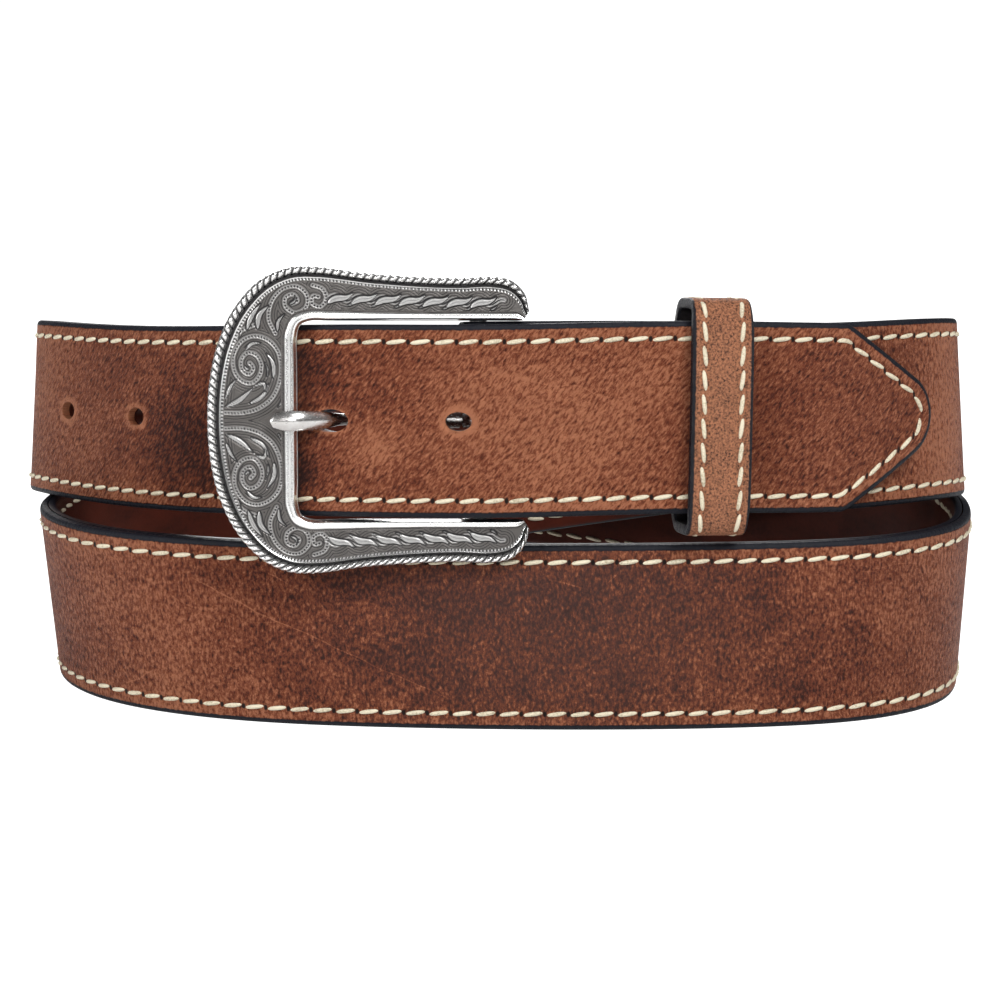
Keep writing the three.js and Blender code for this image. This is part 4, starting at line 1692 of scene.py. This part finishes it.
@dataclass
class Engraving:
    """Cuts in the buckle's face, as heights and blackened recesses over its points."""

    x: np.ndarray
    z: np.ndarray
    inside: np.ndarray

    def __post_init__(self) -> None:
        """Starts with an uncut face."""
        self.depth = np.zeros_like(self.x)
        self.recess = np.zeros_like(self.x)
        self.hatch = np.zeros_like(self.x)
        self.hatched = np.zeros_like(self.x)
        self.bright = np.zeros_like(self.x)
        self.nearest = np.full_like(self.x, 99.0)

    def near(self, curve: np.ndarray, reach: float) -> tuple[np.ndarray, np.ndarray, np.ndarray, np.ndarray]:
        """Points of the face near a curve.

        Args:
            curve: Rows of x and z.
            reach: How far from the curve.

        Returns:
            Their indices, distance to the curve, side of it and place along it from 0 to 1.
        """
        low, high = curve.min(axis=0) - reach, curve.max(axis=0) + reach
        found = self.inside & (self.x > low[0]) & (self.x < high[0]) & (self.z > low[1]) & (self.z < high[1])
        index = np.nonzero(found)[0]
        place = np.column_stack([self.x[index], self.z[index]])
        start = curve[:-1]
        span = np.diff(curve, axis=0)
        steps = np.maximum(row_hypot(span)[:, 0], 1e-9)
        running = np.concatenate([[0.0], np.cumsum(steps)])
        best = np.full(len(index), 99.0)
        side = np.zeros(len(index))
        where = np.zeros(len(index))
        for k in range(len(span)):
            away = place - start[k]
            t = np.clip(away @ span[k] / steps[k] ** 2, 0, 1)
            gap = np.hypot(*(away - t[:, None] * span[k]).T)
            closer = gap < best
            best = np.where(closer, gap, best)
            turn = span[k, 0] * away[:, 1] - span[k, 1] * away[:, 0]
            side = np.where(closer, np.sign(turn), side)
            where = np.where(closer, running[k] + t * steps[k], where)
        return index, best, side, where / running[-1]

    def cut(self, curve: np.ndarray, width: float, depth: float, beads: float = 0.0) -> None:
        """Cuts a groove that thins to both ends, or a beaded one of even width.

        Args:
            curve: Rows of x and z.
            width: Width of the groove at its middle.
            depth: Depth of the groove.
            beads: Pitch of the beads left standing in it, or 0.
        """
        index, gap, _, part = self.near(curve, width * 1.1)
        half = width / 2 * (1.0 if beads else 0.3 + 0.7 * np.sin(np.pi * part) ** 0.7)
        strength = smoothstep(0.0, 0.6, np.clip(1 - gap / half, 0, 1))
        if beads:
            length = row_hypot(np.diff(curve, axis=0)).sum()
            strength *= 1 - 0.85 * smoothstep(0.15, 0.85, np.sin(np.pi * part * length / beads) ** 2)
        self.depth[index] = np.maximum(self.depth[index], depth * strength)
        self.recess[index] = np.maximum(self.recess[index], strength)
        beside = smoothstep(0.9, 0.6, gap / width) * (1 - strength)
        self.bright[index] = np.maximum(self.bright[index], 0.5 * beside)

    def flow(self, curve: np.ndarray, reach: float) -> None:
        """Lays fine shading lines beside a curve, where no nearer curve has laid its own.

        Args:
            curve: Rows of x and z.
            reach: How far the lines spread.
        """
        index, gap, _, _ = self.near(curve, reach)
        closer = gap < self.nearest[index]
        self.hatch[index] = np.where(closer, gap, self.hatch[index])
        self.nearest[index] = np.minimum(self.nearest[index], gap)
        laid = smoothstep(reach, reach * 0.8, gap) * smoothstep(0.15, 0.35, gap)
        self.hatched[index] = np.where(closer, laid, self.hatched[index])

    def leaf(self, curve: np.ndarray, width: float) -> None:
        """Cuts a curved leaf: bright and raised, with a dark shaded side and a thin outline.

        Args:
            curve: Rows of x and z from its base to its point.
            width: Its width.
        """
        index, gap, side, part = self.near(curve, width)
        half = width / 2 * np.sin(np.pi * np.clip(part, 0.0, 1.0) ** 0.75) ** 0.8
        within = smoothstep(0.06, -0.06, gap - half)
        rim = np.abs(gap - half)
        shade = np.where(side > 0, smoothstep(0.26, 0.08, rim), smoothstep(0.15, 0.05, rim)) * (half > 0.04)
        self.depth[index] = self.depth[index] * (1 - within) - 0.1 * within * (1 - gap / width)
        self.recess[index] *= 1 - within
        self.hatched[index] *= 1 - within
        self.depth[index] = np.maximum(self.depth[index], 0.2 * shade)
        self.recess[index] = np.maximum(self.recess[index], shade)
        self.bright[index] = np.maximum(self.bright[index] * (1 - within), 0.75 * within * (1 - shade))
        rib = smoothstep(0.1, 0.03, gap) * (part > 0.15) * (part < 0.75)
        self.recess[index] = np.maximum(self.recess[index], 0.6 * rib)


# Engraved curves of the upper half of the face, as x and z from the middle of the buckle: the beaded
# stems and the leaves with their widths

STEMS = (
    (
        (-54.9, 1.6), (-51.5, 1.5), (-48.0, 2.3), (-45.2, 4.3), (-43.7, 7.2), (-43.2, 10.5),
        (-43.8, 13.6), (-45.5, 15.7), (-48.0, 16.7), (-50.4, 16.1), (-52.0, 14.3), (-52.7, 11.9),
        (-52.2, 9.3), (-50.7, 7.7), (-48.9, 7.5), (-47.5, 8.9), (-47.1, 11.0), (-48.1, 12.9),
        (-49.9, 13.4), (-51.1, 11.8), (-50.8, 9.9), (-49.5, 9.2), (-48.7, 10.4), (-49.4, 11.4),
    ),
    (
        (-44.3, 17.2), (-45.6, 20.2), (-44.9, 23.6), (-42.7, 26.0), (-39.9, 26.4), (-38.0, 24.6),
        (-38.3, 22.3), (-40.3, 21.3), (-42.2, 22.4), (-42.3, 24.2), (-40.8, 24.9), (-39.9, 23.7),
        (-40.9, 23.1),
    ),
    (
        (-36.9, 26.7), (-34.9, 25.9), (-34.2, 24.0), (-35.4, 22.5), (-37.0, 23.1), (-36.8, 24.6),
        (-35.8, 24.4),
    ),
    (
        (-54.9, 4.0), (-54.3, 9.0), (-53.2, 13.6), (-51.2, 17.6), (-48.4, 18.9),
    ),
)
LEAVES = (
    (((-54.2, 2.7), (-51.6, 4.0), (-48.6, 6.6)), 1.1),
    (((-54.3, 4.3), (-53.3, 6.6), (-51.9, 8.4)), 0.8),
    (((-49.6, 3.3), (-46.9, 4.9), (-45.5, 7.6)), 0.9),
    (((-48.4, 6.9), (-46.7, 7.3), (-46.4, 5.4)), 0.8),
    (((-44.7, 8.2), (-44.8, 11.2), (-46.3, 13.6)), 1.0),
    (((-46.0, 8.4), (-45.9, 10.2), (-46.6, 11.9)), 0.5),
    (((-50.2, 13.9), (-48.9, 15.2), (-46.9, 15.3)), 0.8),
    (((-50.6, 10.9), (-49.9, 10.2), (-49.4, 10.7)), 0.55),
    (((-51.9, 15.6), (-51.6, 18.6), (-49.6, 21.2)), 1.0),
    (((-50.0, 17.8), (-49.0, 20.6), (-47.0, 23.3)), 1.1),
    (((-47.8, 17.9), (-47.5, 20.7), (-45.4, 22.9)), 1.2),
    (((-47.3, 23.9), (-45.4, 26.1), (-42.6, 27.3)), 0.8),
    (((-43.9, 17.4), (-43.7, 19.6), (-42.3, 21.2)), 0.8),
    (((-42.5, 15.0), (-42.5, 17.3), (-41.2, 19.3)), 0.6),
    (((-41.6, 22.9), (-40.5, 23.6), (-40.3, 24.6)), 0.6),
    (((-44.0, 2.4), (-43.0, 4.2), (-42.9, 6.4)), 0.5),
)


@dataclass(frozen=True)
class LeafChain:
    """Chain of slanted leaves on S-shaped stems along an arm."""

    first: float = -31.4
    pitch: float = 4.7
    count: int = 7
    middle: float = 24.2
    fall: float = 0.035
    reach: float = 2.7
    rise: float = 1.15
    width: float = 1.45

    def engrave(self, face: Engraving, flip: np.ndarray) -> None:
        """Cuts the chain.

        Args:
            face: The buckle's face.
            flip: The half of the buckle.
        """
        t = np.linspace(0, 1, 18)
        places = [self.first + self.pitch * k for k in range(self.count)]
        along = np.linspace(places[0] - 3, places[-1] + 4, 60)
        sway = 0.5 * self.rise * np.sin(2 * np.pi * (along - self.first) / self.pitch)
        line = np.column_stack([along, self.level(along) - sway])
        face.flow(line * flip, 2.6)
        face.cut(line * flip, 0.5, 0.2)
        for x in places:
            z = self.level(np.array([x]))[0]
            bow = 0.35 * np.sin(2 * np.pi * t)
            leaf = np.column_stack([x + self.reach * (2 * t - 1), z + self.rise * (2 * t - 1) + bow])
            face.leaf(leaf * flip, self.width)
            small = np.column_stack([x + 1.2 + 1.5 * t, z - 1.5 + 0.9 * t**2])
            face.leaf(small * flip, 0.55)

    def level(self, x: np.ndarray) -> np.ndarray:
        """Height of the chain's middle at each place along the arm."""
        return self.middle - self.fall * (x - self.first) + 0.02 * np.maximum(x + 10, 0)


@dataclass
class BuckleFrame:
    """The horseshoe frame: rope edge, channel, beading, engraved field and polished rim."""

    front: float = 1.55
    back: float = 4.3
    sections: int = 880
    field_columns: int = 58
    rope: float = 1.75
    rope_reach: float = 3.25
    rim_reach: float = 3.0
    strand_pitch: float = 1.62
    strand_slant: float = 0.85
    channel: tuple[float, float, float, float] = (1.65, 1.87, 2.25, 2.42)
    line: tuple[float, float, float, float] = (2.3, 2.45, 2.6, 2.72)
    beading: tuple[float, float, float, float] = (2.64, 2.74, 3.18, 3.28)
    bead_pitch: float = 0.72
    zigzag_inset: float = 2.62
    zigzag_height: float = 0.34
    zigzag_pitch: float = 0.6
    field_reach: tuple[float, float] = (3.3, 3.05)
    back_rounding: float = 0.6

    def columns(self) -> tuple[np.ndarray, np.ndarray]:
        """Places across the face, in three zones.

        Returns:
            The zone of each column (0 rope side, 1 field, 2 rim side) and its place there.
        """
        rope_side = np.concatenate([[0.0, 0.03], np.linspace(0.12, 1.0, 20)])
        field = np.linspace(0, 1, self.field_columns + 2)[1:-1]
        rim_side = np.concatenate([np.linspace(0, 0.97, 18), [1.0]])
        zone = np.concatenate([0 * rope_side, 0 * field + 1, 0 * rim_side + 2])
        return zone, np.concatenate([rope_side, field, rim_side])

    def build(self) -> bpy.types.Object:
        """The frame.

        Returns:
            The finished piece.
        """
        half = np.array(FRAME_OUTLINE, dtype=float)
        lower = half[1:] * (1, -1, 1, -1)
        rows = np.vstack([half[::-1], lower])
        at = np.linspace(0, len(rows) - 1, self.sections)
        outer = smooth_curve(rows[:, :2], at)
        inner = smooth_curve(rows[:, 2:], at)
        inward = inner - outer
        width = row_hypot(inward)[:, 0]
        inward /= width[:, None]
        width = width[:, None]
        rope_zone = np.minimum(self.rope_reach * np.clip(width / 12, 0.85, 1.0), width * 0.62)
        rim_zone = np.minimum(self.rim_reach * np.clip(width / 14, 0.62, 1.0), width * 0.3)
        zone, place = self.columns()
        field_inset = rope_zone + place * (width - rope_zone - rim_zone)
        rim_inset = width - rim_zone + place * rim_zone
        inset = np.where(zone == 0, place * rope_zone, np.where(zone == 1, field_inset, rim_inset))
        x = outer[:, 0:1] + inward[:, 0:1] * inset
        z = outer[:, 1:2] + inward[:, 1:2] * inset
        from_outer = inset * (self.rope_reach / np.maximum(rope_zone, 1e-3))
        from_inner = (width - inset) * (self.rim_reach / np.maximum(rim_zone, 1e-3))
        along = np.broadcast_to(running_length(outer)[:, None], inset.shape)
        height, recess, polish = self.relief(from_outer, from_inner, along)
        inside = ((from_outer > self.field_reach[0]) & (from_inner > self.field_reach[1])).ravel()
        face = Engraving(x.ravel(), z.ravel(), inside)
        self.engrave(face)
        shape = x.shape
        height = height - face.depth.reshape(shape)
        recess = np.maximum(recess, face.recess.reshape(shape))
        polish = np.maximum(polish, face.bright.reshape(shape) * 0.55)
        piece = self.closed_mesh(x, z, height, outer, inner, inward)
        self.store(piece, recess, polish, face)
        return piece

    def relief(self, outer: np.ndarray, inner: np.ndarray, along: np.ndarray) -> tuple[np.ndarray, ...]:
        """Height, recess and polish of the mouldings.

        Args:
            outer: Distance from the outer edge.
            inner: Distance from the inner edge.
            along: Distance along the outer edge.

        Returns:
            The three values at each point.
        """
        rope_half = self.rope / 2
        round_part = np.clip(1 - ((outer - rope_half) / rope_half) ** 2, 0, 1)
        strand = np.abs(np.sin(np.pi * (along / self.strand_pitch - self.strand_slant * outer / self.rope)))
        strand_cut = smoothstep(0.78, 0.22, strand)
        on_rope = outer < self.rope
        rope = -0.9 + 1.35 * round_part**0.5 + 0.16 * strand - 0.34 * strand_cut
        channel = band(self.channel, outer)
        line = band(self.line, outer)
        bead_zone = band(self.beading, outer)
        bead = np.sin(np.pi * along / self.bead_pitch) ** 2
        height = np.where(on_rope, rope, 0.0) - 0.4 * channel + 0.12 * line
        height = height + bead_zone * (0.12 * bead - 0.2)
        zigzag = np.abs(((along / self.zigzag_pitch) % 1.0) - 0.5) * 2
        wriggle = np.abs(inner - (self.zigzag_inset + self.zigzag_height * (zigzag - 0.5)))
        wriggle_cut = smoothstep(0.2, 0.08, wriggle)
        rim = smoothstep(2.4, 2.15, inner)
        ridge = swell(1.85, 0.28, inner) + 0.8 * swell(1.0, 0.25, inner)
        rim_height = 0.12 * ridge + 0.12 - 1.1 * smoothstep(0.8, 0.0, inner) ** 1.5
        height = height + rim * rim_height - 0.12 * wriggle_cut
        groove = swell(1.42, 0.13, inner) * rim
        recess = np.maximum.reduce(
            [
                channel * 0.97,
                np.where(on_rope, strand_cut * 0.97 * (outer > 0.1), 0),
                bead_zone * smoothstep(0.75, 0.25, bead) * 0.95,
                wriggle_cut * 0.85,
                groove * 0.35,
            ]
        )
        polish = np.maximum(rim, np.where(on_rope | (line > 0.5), 0.85, 0.0))
        polish = np.maximum(polish, bead_zone * bead * 0.7)
        return height, recess, polish

    @staticmethod
    def engrave(face: Engraving) -> None:
        """Cuts the scrolls, the leaves and the chains of the arms.

        Args:
            face: The buckle's face.
        """
        for mirror in (1.0, -1.0):
            flip = np.array([1.0, mirror])
            stems = [through(stem, 9 * len(stem)) * flip for stem in STEMS]
            for stem in stems:
                face.flow(stem, 2.4)
            for stem in stems:
                face.cut(stem, 0.5, 0.22, beads=0.62)
            for rows, width in LEAVES:
                face.leaf(through(rows, 14) * flip, width)
            LeafChain().engrave(face, flip)

    def closed_mesh(
        self,
        x: np.ndarray,
        z: np.ndarray,
        height: np.ndarray,
        outer: np.ndarray,
        inner: np.ndarray,
        inward: np.ndarray,
    ) -> bpy.types.Object:
        """The face with its sides and back, as one closed piece.

        Args:
            x: Place of each point of the face to the right.
            z: Its place upwards.
            height: Its height.
            outer: The outer edge.
            inner: The inner edge.
            inward: Direction from the outer edge to the inner one.

        Returns:
            The piece.
        """
        back_in = inner - inward * self.back_rounding
        back_out = outer + inward * self.back_rounding
        sides = [
            (inner, self.front + 1.9),
            (inner, self.back - 0.5),
            (back_in, self.back),
            (back_out, self.back),
            (outer, self.back - 0.5),
            (outer, self.front + 1.6),
        ]
        ring_x = np.hstack([x] + [edge[:, 0:1] for edge, _ in sides])
        ring_z = np.hstack([z] + [edge[:, 1:2] for edge, _ in sides])
        depth = np.hstack([self.front - height] + [np.full((len(x), 1), d) for _, d in sides])
        local = np.column_stack([ring_x.ravel(), depth.ravel(), ring_z.ravel()])
        piece = mesh_piece("buckle_frame_cast", buckle_to_row(local), lofted_faces(*ring_x.shape))
        with all_selected(piece):
            bpy.ops.mesh.normals_make_consistent(inside=False)
        smooth(piece, 50)
        return piece

    @staticmethod
    def store(piece: bpy.types.Object, recess: np.ndarray, polish: np.ndarray, face: Engraving) -> None:
        """Stores what the finish needs at each point of the closed mesh.

        Args:
            piece: The frame.
            recess: How blackened each point of its face is.
            polish: How polished each is.
            face: Its engraving.
        """
        shape = recess.shape
        rings, size = shape
        ring_size = len(piece.data.vertices) // rings
        for name, values, rest in (
            ("recess", recess, 0.25),
            ("polish", polish, 0.3),
            ("hatch", face.hatch.reshape(shape), 0.0),
            ("hatched", face.hatched.reshape(shape), 0.0),
        ):
            full = np.full((rings, ring_size), rest)
            full[:, :size] = values
            set_attribute(piece, name, full.ravel())


@dataclass
class HeelBar:
    """The bar that the strap is folded round, with its two lugs behind the frame's arms."""

    lug_width: float = 8.0
    lug_height: float = 4.0
    lug_inner: float = 19.75
    lug_front: float = 4.0
    lug_past_bar: float = 2.0
    lug_narrowing: float = 0.55
    lug_rounding: float = 0.6

    def build(self) -> bpy.types.Object:
        """The bar and the lugs, joined.

        Returns:
            The finished piece.
        """
        clear_selection()
        bpy.ops.mesh.primitive_cylinder_add(vertices=32, radius=BAR["radius"], depth=BAR["length"])
        bar = taken("buckle_heel_bar")
        set_points(bar, points_of(bar) + (BAR["x"], BAR["depth"], 0.0))
        lugs = []
        for side in (1.0, -1.0):
            clear_selection()
            bpy.ops.mesh.primitive_cube_add(size=1.0)
            lug = bpy.context.object
            points = points_of(lug)
            depth = points[:, 1] + 0.5
            narrow = np.where(depth > 0.5, self.lug_narrowing, 1.0)
            right = BAR["x"] + points[:, 0] * self.lug_width * narrow
            back = self.lug_front + depth * (BAR["depth"] + self.lug_past_bar - self.lug_front)
            up = side * (self.lug_inner + (points[:, 2] + 0.5) * self.lug_height)
            set_points(lug, np.column_stack([right, back, up]))
            recalculate_normals(lug)
            apply_modifier(lug, "BEVEL", width=self.lug_rounding, segments=3, limit_method="ANGLE")
            lugs.append(lug)
        join_into(bar, *lugs)
        set_points(bar, buckle_to_row(points_of(bar)))
        recalculate_normals(bar)
        smooth(bar, 40)
        return bar


@dataclass
class Prong:
    """The prong, bevelled to a ridge, with its eye round the heel bar.

    Its rows are places along its middle line, to the right and into the coil, with its half width. Its
    profile is the upper outline of a cross-section, across and out, as parts of its half sizes.
    """

    rows: tuple[tuple[float, float, float], ...] = (
        (-6.9, 5.55, 1.7),
        (-14.0, 5.5, 1.7),
        (-22.0, 6.1, 1.6),
        (-28.9, 7.15, 1.3),
        (-31.2, 6.15, 1.15),
        (-33.2, 4.75, 1.4),
        (-35.0, 3.4, 1.72),
        (-38.9, 0.55, 1.98),
        (-40.6, -0.1, 2.0),
        (-42.6, -0.15, 1.98),
        (-43.8, -0.1, 1.75),
        (-44.6, -0.02, 1.4),
        (-44.95, 0.1, 0.85),
    )
    profile: tuple[tuple[float, float], ...] = (
        (-0.82, -1.0),
        (-1.0, -0.7),
        (-1.0, 0.05),
        (-0.86, 0.45),
        (-0.5, 0.78),
        (-0.16, 0.97),
        (0.0, 1.0),
        (0.16, 0.97),
        (0.5, 0.78),
        (0.86, 0.45),
        (1.0, 0.05),
        (1.0, -0.7),
        (0.82, -1.0),
    )
    half_thickness: float = 1.0
    thinnest: float = 0.35
    middle: float = -22.0
    thinning_from: float = 23.4
    eye_radius: float = 2.8
    eye_wire: float = 0.72
    eye_height: float = 2.3

    def build(self) -> bpy.types.Object:
        """The prong and its eye, joined.

        Returns:
            The finished piece.
        """
        line = through(self.rows, 97)
        tangent = np.gradient(line[:, :2], axis=0)
        tangent /= row_hypot(tangent)
        side = np.column_stack([-tangent[:, 1], tangent[:, 0]])
        side *= np.sign(-side[:, 1:2])
        profile = np.array(self.profile)
        past_middle = np.abs(line[:, 0:1] - self.middle) - self.thinning_from
        thin = self.half_thickness * smoothstep(1.2, -0.2, past_middle) ** 0.35
        out = np.maximum(thin, self.thinnest) * profile[:, 1]
        x = line[:, 0:1] + side[:, 0:1] * out
        y = line[:, 1:2] + side[:, 1:2] * out
        z = line[:, 2:3] * profile[:, 0]
        local = np.column_stack([x.ravel(), y.ravel(), z.ravel()])
        piece = mesh_piece("buckle_prong_cast", local, lofted_faces(len(line), len(profile)))
        clear_selection()
        bpy.ops.mesh.primitive_torus_add(
            major_segments=40, minor_segments=16, major_radius=self.eye_radius, minor_radius=self.eye_wire
        )
        eye = bpy.context.object
        set_points(eye, points_of(eye) * (1, 1, self.eye_height) + (BAR["x"], BAR["depth"], 0))
        join_into(piece, eye)
        set_points(piece, buckle_to_row(points_of(piece)))
        recalculate_normals(piece)
        smooth(piece, 32)
        return piece


# The whole belt and its studio


class Belt:
    """The belt: its strap, keeper and buckle, with their finishes."""

    def __init__(self) -> None:
        """Measures the route and makes the finishes."""
        self.route = Route()
        self.leather = PullUpLeather().build()
        self.lining = LiningLeather().build()
        self.keeper_leather = KeeperLeather().build()
        self.thread = CreamThread().build()
        self.engraved = AntiqueSilver().build(engraved=True)
        self.silver = AntiqueSilver().build(engraved=False)

    def build(self) -> None:
        """Builds and dresses each piece."""
        outer = LeatherLayer(self.route, "strap_outer_hide", True).build()
        finish_piece(outer, self.leather, Slot.STRAP, "strap_outer")
        lining = LeatherLayer(self.route, "strap_lining_hide", False).build()
        finish_piece(lining, self.lining, Slot.LINING, "strap_lining")
        rows = StitchRows(self.route)
        front = rows.strap_rows("strap_stitches", STITCH_START, HALF_THICKNESS, 1.0)
        finish_piece(front, self.thread, Slot.STRAP)
        back = rows.strap_rows("lining_stitches", LINING_STITCH_START, -HALF_THICKNESS, -1.0)
        finish_piece(back, self.thread, Slot.LINING)
        keeper = Keeper(self.route)
        finish_piece(keeper.build(), self.keeper_leather, Slot.KEEPER, "keeper")
        finish_piece(keeper.stitches(rows), self.thread, Slot.KEEPER)
        finish_piece(BuckleFrame().build(), self.engraved, Slot.METAL, "buckle_frame")
        finish_piece(HeelBar().build(), self.silver, Slot.METAL)
        finish_piece(Prong().build(), self.silver, Slot.METAL, "buckle_prong")


@dataclass(frozen=True)
class Lamp:
    """A square soft light: where it stands, its width and its power in watts."""

    name: str
    place: tuple[float, float, float]
    size: float
    power: float

    def build(self, aimed_at: tuple[float, float, float]) -> None:
        """Makes the light.

        Args:
            aimed_at: What it faces.
        """
        data = bpy.data.lights.new(self.name, "AREA")
        data.shape = "SQUARE"
        data.size = self.size
        data.energy = self.power
        lamp = bpy.data.objects.new(self.name, data)
        lamp.location = self.place
        aim = Vector(aimed_at) - Vector(self.place)
        lamp.rotation_euler = aim.to_track_quat("-Z", "Y").to_euler()
        bpy.context.scene.collection.objects.link(lamp)


@dataclass
class Studio:
    """A pale floor, soft lights and the camera."""

    focal: float = 93.6
    camera_distance: float = 501.0
    camera_height: float = 138.1
    camera_pitch: float = 10.09
    floor_size: float = 8.0
    floor_colour: tuple[float, float, float, float] = (0.9, 0.9, 0.9, 1.0)
    floor_glow: float = 1.62
    glow_seen: float = 0.62
    room: float = 0.14
    room_seen: float = 0.91
    belt_middle: tuple[float, float, float] = (0.0, 0.0, 0.04)
    lamps: tuple[Lamp, ...] = (
        Lamp("Key", (0.5, -0.7, 1.0), 0.45, 17.0),
        Lamp("Fill", (-0.95, -0.75, 0.55), 0.5, 11.0),
        Lamp("Front", (0.1, -1.35, 0.6), 0.5, 5.0),
        Lamp("Back", (-0.25, 1.3, 0.8), 0.7, 16.0),
    )

    def build(self) -> None:
        """Makes the camera, the floor and the lights."""
        scene = bpy.context.scene
        data = bpy.data.cameras.new("Camera")
        data.lens = self.focal
        data.sensor_width = 36.0
        data.clip_start = 0.01
        camera = bpy.data.objects.new("Camera", data)
        scene.collection.objects.link(camera)
        place = (-COIL_CENTRE[0], -self.camera_distance - COIL_CENTRE[1], self.camera_height)
        camera.location = [part * MM for part in place]
        camera.rotation_euler = (math.radians(90 - self.camera_pitch), 0, 0)
        scene.camera = camera
        scene.view_settings.view_transform = "Standard"
        self.floor()
        self.world()
        for lamp in self.lamps:
            lamp.build(self.belt_middle)

    def floor(self) -> None:
        """The pale floor."""
        clear_selection()
        bpy.ops.mesh.primitive_plane_add(size=self.floor_size)
        piece = taken("floor")
        material, graph, shader = new_material("Pale floor")
        shader.inputs["Base Color"].default_value = self.floor_colour
        shader.inputs["Roughness"].default_value = 0.9
        shader.inputs["Specular IOR Level"].default_value = 0.1
        glow = graph.add("ShaderNodeEmission")
        glow.inputs["Strength"].default_value = self.floor_glow
        seen = graph.value(graph.add("ShaderNodeLightPath").outputs["Is Camera Ray"])
        both = graph.add("ShaderNodeMixShader")
        graph.feed(both.inputs[0], seen * self.glow_seen)
        graph.feed(both.inputs[1], shader.outputs[0])
        graph.feed(both.inputs[2], glow.outputs[0])
        graph.feed(material.node_tree.nodes["Material Output"].inputs["Surface"], both.outputs[0])
        piece.data.materials.append(material)

    def world(self) -> None:
        """A pale surround that the camera sees as white and the belt as a dim room."""
        world = bpy.data.worlds.new("Surround")
        bpy.context.scene.world = world
        world.use_nodes = True
        graph = Graph(world.node_tree)
        shader = world.node_tree.nodes["Background"]
        seen = graph.value(graph.add("ShaderNodeLightPath").outputs["Is Camera Ray"])
        graph.feed(shader.inputs["Color"], (1.0, 1.0, 1.0, 1.0))
        graph.feed(shader.inputs["Strength"], seen * self.room_seen + self.room)


def main() -> None:
    """Builds the belt round its frame."""
    logging.basicConfig(level=logging.INFO, format="%(message)s")
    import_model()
    Studio().build()
    Belt().build()
    clear_selection()


if __name__ == "__main__":
    main()
